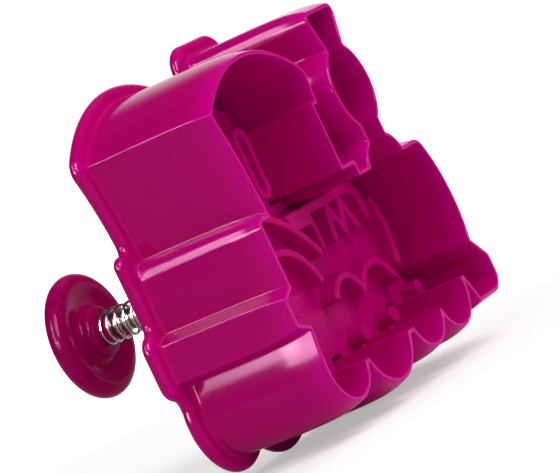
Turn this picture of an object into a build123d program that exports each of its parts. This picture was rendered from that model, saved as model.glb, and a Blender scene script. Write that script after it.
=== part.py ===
from build123d import *
import math
import os

os.makedirs("parts", exist_ok=True)

# Embossing plunger cutter in the shape of a steam locomotive. Lengths are in millimetres.
# The locomotive stands upright: +X is its front, +Z is up, the cutting mouth faces -Y
# and the knob faces +Y. Stations are measured forward from the middle of the outline,
# heights from the lowest wheel of the cutting outline, depths from the cutting edge.

# Wheels of the outline
big_wheel_radius = 9.3
big_wheel_station = -11.4
rear_wheel_radius = 7.1
rear_wheel_station = -27.1
front_wheel_radius = 6.6
front_wheel_stations = (5.2, 17.3)
small_wheel_rise = 1.4
underframe_height = 5.9

# Body and rear buffer
body_rear_station = -33.8
body_shoulder_radius = 1.0
rear_buffer_reach = 3.2
rear_buffer_height = 19.9
rear_buffer_root = 7.7
rear_buffer_tip = 5.2

# Cab and roof
cab_floor_height = 35.9
cab_rear_station = -30.2
cab_rear_bow = 0.5
cab_front_station = 0.9
rear_eave_station = -33.2
rear_eave_height = 54.6
roof_crown_station = -15.4
roof_crown_height = 61.4
front_eave_station = 2.0
front_eave_height = 55.3
roof_tip_station = 3.2
roof_tip_height = 53.7
roof_lip_station = 2.4
roof_lip_height = 48.1

# Running step and boiler
step_front_station = 5.8
step_rise = 2.3
boiler_top_height = 34.3
boiler_shoulder_station = 30.9
boiler_nose_station = 34.2
boiler_nose_height = 20.6
boiler_shoulder_radius = 2.6

# Front bumper
bumper_root_station = 32.9
bumper_root_height = 13.7
bumper_nose_station = 37.0
bumper_nose_top = 9.8
bumper_nose_bottom = 5.4
bumper_keel_station = 34.9
bumper_keel_height = 3.4
bumper_heel_station = 26.6
bumper_rear_station = 24.1
bumper_rear_height = 8.4
bumper_nose_radius = 1.6
bumper_keel_radius = 2.2

# Balloon chimney, its heights given one on top of the other from the boiler's top
chimney_station = 17.0
chimney_skirt_half = 7.3
chimney_skirt_bulge = 0.4
chimney_skirt_rise = 3.7
chimney_stem_half = 3.8
chimney_stem_rise = 2.9
chimney_balloon_half = 7.15
chimney_balloon_rise = 14.3
chimney_neck_half = 3.4
chimney_flare_rise = 5.7
chimney_lip_half = 5.3
chimney_lip_rise = 2.0
chimney_lip_radius = 1.4

corner_radius = 0.45

# Shell
shell_depth = 27.5
blade_land = 0.65
bevel_depth = 2.6
bevel_flare = 0.32
shoulder_depth = 3.9
shoulder_flare = 0.26
wall_flare = 0.4
flange_width = 2.7
flange_thickness = 2.7
flange_edge_round = 1.1
back_plate_thickness = 2.0
guide_boss_diameter = 8.4
guide_boss_length = 3.0
guide_boss_edge = 0.4
spring_seat_diameter = 9.6
spring_seat_bore = 6.9
spring_seat_height = 1.6

# Plunger
plunger_station = 0.0
plunger_height = 27.1
rod_diameter = 4.0
rod_clearance = 0.08
rod_chamfer = 0.3
stamp_clearance = 0.55
stamp_face_depth = 15.5
stamp_thickness = 2.4
stamp_hub_diameter = 8.0
stop_gap = 0.2
relief_height = 3.6
hub_wall = 1.2

# Stamp outline under the cab roof
stamp_roof_stations = (-30.3, 0.1)
stamp_roof_height = 53.0
stamp_roof_crown = 57.0

# Relief of the stamp. Drops are measured down from the relief's top edge below the boiler
rib_width = 1.5
window_stations = (-23.9, -5.8)
window_height = 43.6
window_tall = 13.4
window_wide = 4.5
window_band = 1.1
inner_guard_centre = (-11.8, 16.6)
inner_guard_radius = 11.3
inner_guard_angles = (16.0, 164.0)
outer_guard_centre = (-19.9, 8.2)
outer_guard_radius = 27.9
outer_guard_angles = (34.5, 71.7)
outer_guard_tail_radius = 12.6
outer_guard_tail_end = 188.0
firebox_rear_station = -3.4
firebox_front_station = 4.0
firebox_drop = 3.7
firebox_post_drop = 8.9
firebox_post_width = 1.2
band_height = 1.9
band_end_station = 23.9
band_end_drop = 6.9
band_bend_radius = 3.2
zigzag_foot_drop = 7.9
zigzag_peak_drop = 2.2
zigzag_feet_stations = (9.8, 14.3, 19.2)
zigzag_peak_stations = (11.7, 16.7)
smokebox_rib_station = 29.4
smokebox_rib_drops = (17.9, 4.7)
smokebox_rib_radius = 17.0
first_arch_centre = (6.0, 13.5)
first_arch_radius = 5.3
first_arch_angles = (5.0, 157.0)
second_arch_centre = (17.3, 11.9)
second_arch_radius = 6.35
second_arch_angles = (27.0, 160.0)
second_arch_tip = (26.0, 11.9)
hub_peg_radius = 1.6
hub_peg_height = 8.1
big_peg_radius = 2.5
big_peg_station = -9.7
big_peg_height = 14.0
buffer_peg_centre = (30.3, 9.5)
buffer_peg_length = 3.2
buffer_peg_width = 2.8
buffer_peg_round = 1.0

# Spring
spring_outer_diameter = 6.4
spring_wire = 0.6
spring_end_pitch = 1.1
spring_end_turns = 1
spring_active_turns = 14
spring_gap = 0.1
spring_samples = 12

# Knob
knob_radius = 11.75
knob_rim_round = 2.9
knob_crown = 3.8
knob_plane_depth = 60.4
knob_boss_radius = 4.75
knob_boss_height = 3.4
knob_boss_edge = 0.5
knob_dish_floor = 1.5
knob_dish_radius = 6.2
knob_spigot_radius = 2.45
knob_spigot_length = 2.3
knob_socket_depth = 7.2

# Overlap of united shapes, overrun of every cut, and width of a search for edges
overlap = 0.8
overrun = 1.0
tolerance = 0.01

# Sizes worked out from the ones above
step_height = boiler_top_height + step_rise
chimney_skirt_top = boiler_top_height + chimney_skirt_rise
chimney_stem_top = chimney_skirt_top + chimney_stem_rise
chimney_neck_height = chimney_stem_top + chimney_balloon_rise
chimney_lip_height = chimney_neck_height + chimney_flare_rise
chimney_top_height = chimney_lip_height + chimney_lip_rise
stamp_inset = blade_land + stamp_clearance
relief_top = boiler_top_height - stamp_inset
outer_flare = bevel_flare + shoulder_flare + wall_flare
overhang = outer_flare + flange_width
ground = overhang
overall_length = knob_plane_depth + knob_crown
mouth_y = -overall_length / 2
axis_z = ground + plunger_height
spring_centre_radius = (spring_outer_diameter - spring_wire) / 2
knob_boss_depth = knob_plane_depth - knob_boss_height
back_plate_depth = shell_depth - back_plate_thickness
guide_front_depth = back_plate_depth - guide_boss_length
stamp_back_depth = stamp_face_depth + stamp_thickness
hub_back_depth = guide_front_depth - stop_gap
rod_radius = rod_diameter / 2
bore_radius = rod_radius + rod_clearance
rod_front_depth = stamp_face_depth + hub_wall
rod_back_depth = knob_boss_depth - knob_spigot_length + knob_socket_depth


def at_depth(depth):
    """Plane across the cutter at a depth behind the cutting edge, its normal towards the mouth."""
    return Plane(origin=(0, mouth_y + depth, 0), x_dir=(1, 0, 0), z_dir=(0, -1, 0))


def block(rear, front, bottom, top):
    """Upright rectangle between two stations and two heights."""
    size = Rectangle(front - rear, top - bottom, align=(Align.MIN, Align.MIN))
    return Pos(rear, bottom) * size


def face_up(wire):
    """Face inside a closed wire, turned so that its normal points up whichever way the wire runs."""
    face = Face(wire)
    return Sketch() + (face if face.normal_at().Z > 0 else -face)


def closed_face(*edges):
    """Face inside a ring of edges."""
    return face_up(Wire(edges))


def polygon(*points):
    """Face inside a ring of straight edges."""
    return face_up(Wire.make_polygon([Vector(*p) for p in points], close=True))


def rounded(sketch, station, height, radius):
    """The sketch with the corner nearest to a point rounded."""
    corner = sketch.vertices().sort_by_distance((station, height))[0]
    return fillet(corner, radius)


def cab():
    """Cab with a flared rear wall and an arched roof that overhangs at the front."""
    floor = cab_floor_height - overlap
    mid_height = (cab_floor_height + rear_eave_height) / 2
    mid_station = (cab_rear_station + rear_eave_station) / 2 + cab_rear_bow
    foot = (cab_rear_station, floor)
    rear_eave = (rear_eave_station, rear_eave_height)
    front_eave = (front_eave_station, front_eave_height)
    tip = (roof_tip_station, roof_tip_height)
    lip = (roof_lip_station, roof_lip_height)
    under_lip = (cab_front_station, roof_lip_height)
    front_foot = (cab_front_station, floor)
    return closed_face(
        Edge.make_three_point_arc(foot, (mid_station, mid_height), rear_eave),
        Edge.make_three_point_arc(rear_eave, (roof_crown_station, roof_crown_height), front_eave),
        Edge.make_line(front_eave, tip),
        Edge.make_line(tip, lip),
        Edge.make_line(lip, under_lip),
        Edge.make_line(under_lip, front_foot),
        Edge.make_line(front_foot, foot),
    )


def boiler():
    """Boiler with a bowed smokebox front."""
    shoulder = (boiler_shoulder_station, boiler_top_height)
    nose = (boiler_nose_station, boiler_nose_height)
    root = (bumper_root_station, bumper_root_height)
    rear = cab_front_station - overlap
    sketch = closed_face(
        Edge.make_line((rear, boiler_top_height), shoulder),
        Edge.make_three_point_arc(shoulder, nose, root),
        Edge.make_line(root, (rear, bumper_root_height)),
        Edge.make_line((rear, bumper_root_height), (rear, boiler_top_height)),
    )
    return rounded(sketch, boiler_shoulder_station, boiler_top_height, boiler_shoulder_radius)


def bumper():
    """Front bumper with a raked rear edge."""
    sketch = polygon(
        (bumper_root_station, bumper_root_height),
        (bumper_nose_station, bumper_nose_top),
        (bumper_nose_station, bumper_nose_bottom),
        (bumper_keel_station, bumper_keel_height),
        (bumper_heel_station, bumper_keel_height),
        (bumper_rear_station, bumper_rear_height),
        (bumper_rear_station, bumper_root_height),
    )
    sketch = rounded(sketch, bumper_nose_station, bumper_nose_top, bumper_nose_radius)
    sketch = rounded(sketch, bumper_nose_station, bumper_nose_bottom, bumper_nose_radius)
    return rounded(sketch, bumper_keel_station, bumper_keel_height, bumper_keel_radius)


def rear_buffer():
    """Buffer behind the body, narrower at its tip."""
    tip_station = body_rear_station - rear_buffer_reach
    return polygon(
        (body_rear_station + overlap, rear_buffer_height - rear_buffer_root / 2),
        (body_rear_station, rear_buffer_height - rear_buffer_root / 2),
        (tip_station, rear_buffer_height - rear_buffer_tip / 2),
        (tip_station, rear_buffer_height + rear_buffer_tip / 2),
        (body_rear_station, rear_buffer_height + rear_buffer_root / 2),
        (body_rear_station + overlap, rear_buffer_height + rear_buffer_root / 2),
    )


def chimney():
    """Balloon chimney on a skirt, with a flared lip."""
    foot = boiler_top_height - overlap
    skirt_mid = (chimney_skirt_half + chimney_stem_half) / 2 + chimney_skirt_bulge
    skirt_mid_height = (boiler_top_height + chimney_skirt_top) / 2 + chimney_skirt_bulge
    balloon_height = (chimney_stem_top + chimney_neck_height) / 2

    def side_edges(side):
        """Edges of one side, from the skirt's foot up to the lip's top corner."""

        def at(half, height):
            return (chimney_station + side * half, height)

        skirt = at(chimney_skirt_half, boiler_top_height)
        stem_foot = at(chimney_stem_half, chimney_skirt_top)
        stem_head = at(chimney_stem_half, chimney_stem_top)
        neck = at(chimney_neck_half, chimney_neck_height)
        lip = at(chimney_lip_half, chimney_lip_height)
        return [
            Edge.make_line(at(chimney_skirt_half, foot), skirt),
            Edge.make_three_point_arc(skirt, at(skirt_mid, skirt_mid_height), stem_foot),
            Edge.make_line(stem_foot, stem_head),
            Edge.make_three_point_arc(stem_head, at(chimney_balloon_half, balloon_height), neck),
            Edge.make_line(neck, lip),
            Edge.make_line(lip, at(chimney_lip_half, chimney_top_height)),
        ]

    edges = side_edges(1) + side_edges(-1)
    for half, height in ((chimney_skirt_half, foot), (chimney_lip_half, chimney_top_height)):
        edges.append(
            Edge.make_line((chimney_station - half, height), (chimney_station + half, height))
        )
    sketch = closed_face(*edges)
    for side in (-1, 1):
        lip_station = chimney_station + side * chimney_lip_half
        sketch = rounded(sketch, lip_station, chimney_top_height, chimney_lip_radius)
    return sketch


def pieces():
    """The simple shapes that make up the outline, each overlapping its neighbours."""
    rear_centre = small_wheel_rise + rear_wheel_radius
    shapes = [
        Pos(big_wheel_station, big_wheel_radius) * Circle(big_wheel_radius),
        Pos(rear_wheel_station, rear_centre) * Circle(rear_wheel_radius),
    ]
    for station in front_wheel_stations:
        centre = small_wheel_rise + front_wheel_radius
        shapes.append(Pos(station, centre) * Circle(front_wheel_radius))
    body = block(body_rear_station, cab_front_station, rear_centre, cab_floor_height)
    shapes.append(rounded(body, body_rear_station, cab_floor_height, body_shoulder_radius))
    shapes.append(block(body_rear_station, bumper_rear_station, rear_centre, bumper_root_height))
    underframe_top = bumper_rear_height + overlap
    underframe_front = front_wheel_stations[-1]
    shapes.append(block(rear_wheel_station, underframe_front, underframe_height, underframe_top))
    step_foot = boiler_top_height - overlap
    step_rear = cab_front_station - overlap
    shapes.append(block(step_rear, step_front_station, step_foot, step_height))
    return shapes + [cab(), boiler(), bumper(), rear_buffer(), chimney()]


def grown(piece, amount):
    """A piece with its corners rounded as the mould rounds them, larger all round by an amount."""
    core = offset(piece, amount=-corner_radius, kind=Kind.ARC)
    return offset(core, amount=corner_radius + amount, kind=Kind.ARC)


def locomotive():
    """Cutting outline of the locomotive, with sharp corners."""
    outline = Sketch()
    for piece in pieces():
        outline += piece
    return outline.clean()


def lifted(sketch):
    """The sketch raised so that the flange below the wheels stands on the ground."""
    return Pos(0, ground) * sketch


def drafted(front_depth, rear_depth, front_growth, rear_growth):
    """Solid between two depths, whose outline grows from the front one to the rear one."""
    depth = rear_depth - front_depth
    draft = math.degrees(math.atan2(rear_growth - front_growth, depth))
    plane = at_depth(rear_depth)
    solid = Part()
    for piece in pieces():
        solid += extrude(plane * lifted(grown(piece, rear_growth)), amount=depth, taper=draft)
    return solid


def disc(radius, front_depth, rear_depth):
    """Cylinder on the plunger's axis between two depths."""
    circle = Pos(plunger_station, axis_z) * Circle(radius)
    return extrude(at_depth(rear_depth) * circle, amount=rear_depth - front_depth)


def edges_at(solid, depth):
    """Edges of a solid that lie at a depth."""
    y = mouth_y + depth
    return solid.edges().filter_by_position(Axis.Y, y - tolerance, y + tolerance)


def flange():
    """Rolled flange round the back of the wall, with a web between the cab and the chimney."""
    front_depth = shell_depth - flange_thickness
    rim = drafted(front_depth, shell_depth, overhang, overhang)
    web = block(cab_front_station, chimney_station, step_height, front_eave_height)
    rim += extrude(at_depth(shell_depth) * lifted(web), amount=flange_thickness)
    rolled = edges_at(rim, front_depth) + edges_at(rim, shell_depth)
    return fillet(rolled, flange_edge_round)


def shell():
    """Cutting wall with its flange and back plate, the rod's guide and the spring's seat."""
    shoulder_growth = bevel_flare + shoulder_flare
    wall_depth = bevel_depth + shoulder_depth
    body = drafted(0, bevel_depth, 0, bevel_flare)
    body += drafted(bevel_depth, wall_depth, bevel_flare, shoulder_growth)
    body += drafted(wall_depth, shell_depth - flange_thickness, shoulder_growth, outer_flare)
    body += flange()
    inside = offset(locomotive(), amount=-blade_land, kind=Kind.ARC)
    cavity = at_depth(back_plate_depth) * lifted(inside)
    body -= extrude(cavity, amount=back_plate_depth + overrun)
    boss = disc(guide_boss_diameter / 2, guide_front_depth, back_plate_depth + overlap)
    body += chamfer(edges_at(boss, guide_front_depth), guide_boss_edge)
    seat_depth = shell_depth + spring_seat_height
    seat = disc(spring_seat_diameter / 2, shell_depth - overlap, seat_depth)
    body += chamfer(edges_at(seat, seat_depth), guide_boss_edge)
    body -= disc(spring_seat_bore / 2, shell_depth, seat_depth + overrun)
    return body - disc(bore_radius, guide_front_depth - overrun, seat_depth)


def stamp_outline():
    """Outline of the stamp plate, which ends below the cab roof and its overhang."""
    outline = offset(locomotive(), amount=-stamp_inset, kind=Kind.ARC)
    rear, front = stamp_roof_stations
    left = (rear, stamp_roof_height)
    right = (front, stamp_roof_height)
    crown = ((rear + front) / 2, stamp_roof_crown)
    arch = closed_face(Edge.make_three_point_arc(left, crown, right), Edge.make_line(right, left))
    chimney_rear = chimney_station - chimney_balloon_half - overrun
    above_roof = block(body_rear_station, chimney_rear, stamp_roof_height, chimney_top_height)
    outline -= above_roof - arch
    lip_floor = (cab_floor_height + roof_lip_height) / 2
    front_wall = cab_front_station - stamp_inset
    return outline - block(front_wall, chimney_rear, lip_floor, chimney_top_height)


def arc_point(centre, radius, angle):
    """Point on a circle, its angle measured from the front, turning upwards."""
    turn = math.radians(angle)
    return (centre[0] + radius * math.cos(turn), centre[1] + radius * math.sin(turn))


def arc_edge(centre, radius, angles):
    """Arc of a circle between two angles."""
    start, end = angles
    ends = [arc_point(centre, radius, angle) for angle in (start, (start + end) / 2, end)]
    return Edge.make_three_point_arc(*ends)


def arc_rib(centre, radius, angles, width=rib_width):
    """Curved rib with square ends."""
    outer = arc_edge(centre, radius + width / 2, angles)
    inner = arc_edge(centre, radius - width / 2, angles)
    ends = [Edge.make_line(outer @ share, inner @ share) for share in (0, 1)]
    return closed_face(outer, inner, *ends)


def straight_rib(start, end, width=rib_width):
    """Straight rib with round ends."""
    run = Vector(*end) - Vector(*start)
    angle = math.degrees(math.atan2(run.Y, run.X))
    middle = (Vector(*start) + Vector(*end)) / 2
    return Pos(middle) * SlotCenterToCenter(run.length, width, rotation=angle)


def window_ring(station):
    """Round-ended ring of a cab window."""
    ring = SlotOverall(window_tall, window_wide, rotation=90)
    ring -= SlotOverall(window_tall - 2 * window_band, window_wide - 2 * window_band, rotation=90)
    return Pos(station, window_height) * ring


def wheel_guards():
    """Two arched ribs over the big wheel, the outer one drawn on behind it in a tighter arc."""
    start, turn = outer_guard_angles
    shift = outer_guard_radius - outer_guard_tail_radius
    tail_centre = arc_point(outer_guard_centre, shift, turn)
    return [
        arc_rib(inner_guard_centre, inner_guard_radius, inner_guard_angles),
        arc_rib(outer_guard_centre, outer_guard_radius, (start, turn)),
        arc_rib(tail_centre, outer_guard_tail_radius, (turn, outer_guard_tail_end)),
    ]


def firebox():
    """Raised corner in front of the outer guard, with a post down its front."""
    bottom = relief_top - firebox_drop
    plateau = block(firebox_rear_station, firebox_front_station, bottom, relief_top)
    plateau -= Pos(*outer_guard_centre) * Circle(outer_guard_radius)
    post_front = firebox_front_station + firebox_post_width
    foot = relief_top - firebox_post_drop
    post = block(firebox_front_station, post_front, foot, relief_top)
    return [plateau, post]


def boiler_band():
    """Band along the top of the boiler that bends down at its front."""
    centre_height = relief_top - band_height / 2
    bend = (band_end_station - band_bend_radius, centre_height - band_bend_radius)
    band = block(firebox_front_station, bend[0], relief_top - band_height, relief_top)
    end_height = relief_top - band_end_drop
    drop = straight_rib((band_end_station, bend[1]), (band_end_station, end_height), band_height)
    return [band, arc_rib(bend, band_bend_radius, (0, 90), band_height), drop]


def zigzag():
    """Zigzag rib that hangs from the boiler band, with four slopes."""
    feet = [(station, relief_top - zigzag_foot_drop) for station in zigzag_feet_stations]
    peaks = [(station, relief_top - zigzag_peak_drop) for station in zigzag_peak_stations]
    slopes = []
    for foot, peak, next_foot in zip(feet, peaks, feet[1:]):
        slopes += [straight_rib(foot, peak), straight_rib(peak, next_foot)]
    return slopes


def smokebox_rib():
    """Upright bowed rib behind the smokebox front."""
    bottom, top = [relief_top - drop for drop in smokebox_rib_drops]
    radius = smokebox_rib_radius - rib_width / 2
    centre = (smokebox_rib_station - smokebox_rib_radius, (bottom + top) / 2)
    swing = math.degrees(math.asin((top - bottom) / 2 / radius))
    return arc_rib(centre, radius, (-swing, swing))


def wheel_arches():
    """Arched ribs over the front wheels, the front one drawn out to a point."""
    start = second_arch_angles[0]
    tip_root = [
        arc_point(second_arch_centre, second_arch_radius + side * rib_width / 2, start)
        for side in (-1, 1)
    ]
    return [
        arc_rib(first_arch_centre, first_arch_radius, first_arch_angles),
        arc_rib(second_arch_centre, second_arch_radius, second_arch_angles),
        polygon(*tip_root, second_arch_tip),
    ]


def pegs():
    """Round pegs on the wheels and a rounded one behind the bumper."""
    hubs = [Pos(station, hub_peg_height) * Circle(hub_peg_radius) for station in front_wheel_stations]
    hubs.append(Pos(rear_wheel_station, hub_peg_height) * Circle(hub_peg_radius))
    hubs.append(Pos(big_peg_station, big_peg_height) * Circle(big_peg_radius))
    buffer = RectangleRounded(buffer_peg_length, buffer_peg_width, buffer_peg_round)
    hubs.append(Pos(*buffer_peg_centre) * buffer)
    return hubs


def relief():
    """Shapes of the raised relief."""
    shapes = [window_ring(station) for station in window_stations]
    shapes += wheel_guards() + firebox() + boiler_band() + zigzag()
    return shapes + [smokebox_rib()] + wheel_arches() + pegs()


def stamp():
    """Embossing stamp with its relief and the hub that holds the rod."""
    outline = stamp_outline()
    plate = extrude(at_depth(stamp_back_depth) * lifted(outline), amount=stamp_thickness)
    root_depth = stamp_face_depth + overlap
    rib_height = relief_height + overlap
    for shape in relief():
        shape = at_depth(root_depth) * lifted(shape & outline)
        plate += extrude(shape, amount=rib_height)
    hub = disc(stamp_hub_diameter / 2, stamp_back_depth - overlap, hub_back_depth)
    plate += chamfer(edges_at(hub, hub_back_depth), guide_boss_edge)
    return plate - disc(rod_radius, rod_front_depth, hub_back_depth + overrun)


def rod():
    """Steel rod from inside the stamp's hub to the bottom of the knob's socket."""
    bar = disc(rod_radius, rod_front_depth, rod_back_depth)
    return chamfer(edges_at(bar, rod_front_depth) + edges_at(bar, rod_back_depth), rod_chamfer)


def knob():
    """Push knob turned round the plunger's axis, with a boss and a spigot inside the spring."""
    rim_radius = knob_radius - knob_rim_round
    crown_extra = knob_crown - knob_rim_round
    dome_radius = (rim_radius**2 + knob_crown**2 - knob_rim_round**2) / (2 * crown_extra)
    dome_centre = knob_crown - dome_radius
    crown_angle = math.degrees(math.atan2(-dome_centre, rim_radius))
    rim_centre = (rim_radius, 0)
    dish_middle = ((rim_radius + knob_dish_radius) / 2, -(knob_rim_round + knob_dish_floor) / 2)
    rim = arc_edge(rim_centre, knob_rim_round, (-90, crown_angle))
    dome = arc_edge((0, dome_centre), dome_radius, (crown_angle, 90))
    dish_rim = (rim_radius, -knob_rim_round)
    dish_foot = (knob_dish_radius, -knob_dish_floor)
    boss_face = -knob_boss_height
    spigot_tip = boss_face - knob_spigot_length
    socket_floor = spigot_tip + knob_socket_depth
    steps = [
        dish_foot,
        (knob_boss_radius, -knob_dish_floor),
        (knob_boss_radius, boss_face + knob_boss_edge),
        (knob_boss_radius - knob_boss_edge, boss_face),
        (knob_spigot_radius, boss_face),
        (knob_spigot_radius, spigot_tip),
        (rod_radius, spigot_tip),
        (rod_radius, socket_floor),
        (0, socket_floor),
        (0, knob_crown),
    ]
    profile = closed_face(
        rim,
        dome,
        Edge.make_tangent_arc(dish_rim, (-1, 0), dish_middle),
        Edge.make_tangent_arc(dish_foot, (1, 0), dish_middle),
        *[Edge.make_line(start, end) for start, end in zip(steps, steps[1:])],
    )
    axis_origin = (plunger_station, mouth_y + knob_plane_depth, axis_z)
    turning_plane = Plane(origin=axis_origin, x_dir=(1, 0, 0), z_dir=(0, 0, 1))
    return revolve(turning_plane * profile, Axis(axis_origin, (0, 1, 0)))


def spring_knots():
    """Points and directions along the spring's centre line, one for each half turn."""
    inset = spring_gap + spring_wire / 2
    start = shell_depth + inset
    rise = knob_boss_depth - inset - start
    active_pitch = (rise - 2 * spring_end_turns * spring_end_pitch) / spring_active_turns
    ends = [spring_end_pitch / 2] * (2 * spring_end_turns)
    steps = ends + [active_pitch / 2] * (2 * spring_active_turns) + ends
    depths = [start]
    for step in steps:
        depths.append(depths[-1] + step)
    knots = []
    for index, depth in enumerate(depths):
        before = steps[max(index - 1, 0)]
        after = steps[min(index, len(steps) - 1)]
        slope = (before + after) / 2 / math.pi
        side = -1 if index % 2 else 1
        point = Vector(side * spring_centre_radius, mouth_y + depth, axis_z)
        direction = Vector(0, slope, side * spring_centre_radius).normalized()
        knots.append((point, direction))
    return knots


def biarc(start, start_direction, end, end_direction):
    """Two arcs that join two points smoothly, each point with its own direction."""
    chord = end - start
    mean = start_direction + end_direction
    along = chord.dot(mean)
    spread = 4 - mean.dot(mean)
    reach = (math.sqrt(along**2 + spread * chord.dot(chord)) - along) / spread
    corner = start + start_direction * reach
    last_corner = end - end_direction * reach
    middle = (corner + last_corner) / 2
    return [
        Edge.make_tangent_arc(start, start_direction, middle),
        Edge.make_tangent_arc(middle, last_corner - corner, end),
    ]


def spring():
    """Compression spring round the rod, one unbroken wire with closer end turns."""
    knots = spring_knots()
    arcs = []
    for (start, start_direction), (end, end_direction) in zip(knots, knots[1:]):
        arcs += biarc(start, start_direction, end, end_direction)
    first_point, first_direction = knots[0]
    last_point, last_direction = knots[-1]
    tail = first_point - first_direction * spring_wire
    head = last_point + last_direction * spring_wire
    edges = [Edge.make_line(tail, first_point), *arcs, Edge.make_line(last_point, head)]
    section = Plane(origin=tail, z_dir=first_direction) * Circle(spring_wire / 2)
    print("least gap between the spring's turns:", round(least_gap(arcs), 2), "mm")
    return sweep(section, path=Wire(edges))


def least_gap(arcs):
    """Least distance between the wire's surface and itself, more than half a turn further on."""
    shares = [sample / spring_samples for sample in range(spring_samples)]
    points = [arc @ share for arc in arcs for share in shares]
    half_turn = 2 * spring_samples
    distances = []
    for index, point in enumerate(points):
        for other in points[index + half_turn:]:
            distances.append((other - point).length)
    return min(distances) - spring_wire


nodes = {
    "cutter_shell": shell,
    "return_spring": spring,
    "stamp_plate": stamp,
    "plunger_rod": rod,
    "knob": knob,
}
for name, make in nodes.items():
    export_step(make(), f"parts/{name}.step")
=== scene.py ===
"""Plunger cutter in the shape of a steam locomotive: moulded shell, stamp, knob, rod and spring."""

import math
from collections import namedtuple
from functools import partial
from types import SimpleNamespace

import bmesh
import bpy
from mathutils import Matrix, Vector
from mathutils.kdtree import KDTree


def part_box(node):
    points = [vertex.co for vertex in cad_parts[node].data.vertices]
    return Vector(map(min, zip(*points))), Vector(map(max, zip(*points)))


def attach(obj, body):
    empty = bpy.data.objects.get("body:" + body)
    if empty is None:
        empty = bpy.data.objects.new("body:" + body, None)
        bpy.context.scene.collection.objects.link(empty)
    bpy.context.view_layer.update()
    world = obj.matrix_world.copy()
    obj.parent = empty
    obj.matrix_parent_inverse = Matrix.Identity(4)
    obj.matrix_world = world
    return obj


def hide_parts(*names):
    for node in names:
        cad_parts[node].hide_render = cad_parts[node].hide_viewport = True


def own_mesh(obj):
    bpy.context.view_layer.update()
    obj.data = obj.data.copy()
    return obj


bl_info = {
    "name": "Locomotive Plunger Cutter",
    "version": (1, 0, 0),
    "blender": (4, 5, 0),
    "location": "3D Viewport > Sidebar > Plunger Cutter",
    "description": "Dresses the frame of a plunger cutter with moulded plastic and steel pieces",
    "category": "Add Mesh",
}

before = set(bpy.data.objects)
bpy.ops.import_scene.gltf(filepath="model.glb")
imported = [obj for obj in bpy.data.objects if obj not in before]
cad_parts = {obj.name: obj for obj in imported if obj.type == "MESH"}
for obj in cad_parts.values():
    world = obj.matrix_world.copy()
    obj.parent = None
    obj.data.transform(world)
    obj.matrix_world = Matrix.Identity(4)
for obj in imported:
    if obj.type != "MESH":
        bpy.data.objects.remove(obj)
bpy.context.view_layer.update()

MM = 0.001
SHELL_LOW, SHELL_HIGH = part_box("cutter_shell")
ROD_LOW, ROD_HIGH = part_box("plunger_rod")
MOUTH_Y = SHELL_LOW.y
AXIS_Z = (ROD_LOW.z + ROD_HIGH.z) / 2
PLUNGER_HEIGHT = 27.1
GROUND = AXIS_Z / MM - PLUNGER_HEIGHT

# Depths from the cutting edge, in millimetres
SPRING_SEAT_HEIGHT = 1.6
SHELL_DEPTH = (SHELL_HIGH.y - MOUTH_Y) / MM - SPRING_SEAT_HEIGHT
BACK_PLATE_DEPTH = 25.5
GUIDE_FRONT_DEPTH = 22.5
STAMP_FACE_DEPTH = 15.5
STAMP_BACK_DEPTH = 17.9
HUB_BACK_DEPTH = 22.3
ROD_FRONT_DEPTH = (ROD_LOW.y - MOUTH_Y) / MM
ROD_BACK_DEPTH = (ROD_HIGH.y - MOUTH_Y) / MM
KNOB_PLANE_DEPTH = 60.4
KNOB_BOSS_DEPTH = 57.0
SPRING_GAP = 0.1

# Outline of the locomotive, in millimetres: stations forward from its middle and heights
# above its lowest wheel
BIG_WHEEL = (-11.4, 9.3, 9.3)
REAR_WHEEL = (-27.1, 8.5, 7.1)
FRONT_WHEELS = ((5.2, 8.0, 6.6), (17.3, 8.0, 6.6))
UNDERFRAME_HEIGHT = 5.9
BODY_REAR = -33.8
BODY_SHOULDER = 1.6
BUFFER_REACH = 3.2
BUFFER_HEIGHT = 19.9
BUFFER_ROOT = 7.7
BUFFER_TIP = 5.2
BUFFER_FOOT = (-33.2, 16.05)
REAR_GUARD_MIDDLE = (-33.9, 12.4)
REAR_WHEEL_TOP = (-34.2, 8.7)
CAB_FLOOR = 35.9
CAB_REAR = -30.2
CAB_REAR_BOW = 0.5
FLANGE_BOW = 0.8
CAB_FRONT = 0.9
REAR_EAVE = (-33.2, 54.6)
ROOF_CROWN = (-15.4, 61.4)
FRONT_EAVE = (2.0, 55.3)
ROOF_TIP = (3.2, 53.7)
ROOF_LIP = (2.4, 48.1)
STEP_FRONT = 5.8
STEP_HEIGHT = 36.6
BOILER_TOP = 34.3
BOILER_SHOULDER = 30.9
BOILER_SHOULDER_BEND = 2.6
BOILER_NOSE = (34.2, 20.6)
BUMPER_ROOT = (32.9, 13.7)
BUMPER_NOSE = 37.0
BUMPER_NOSE_TOP = 9.8
BUMPER_NOSE_BOTTOM = 5.4
BUMPER_KEEL = (34.9, 3.4)
BUMPER_HEEL = 26.6
BUMPER_REAR = (24.1, 8.4)
BUMPER_NOSE_BEND = 1.6
BUMPER_KEEL_BEND = 2.2
CHIMNEY_STATION = 17.0
CREASE = 0.3
NARROW_CREASE = 0.2
SOFT_CREASE = 0.6
FLANGE_CREASE = 1.6

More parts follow.
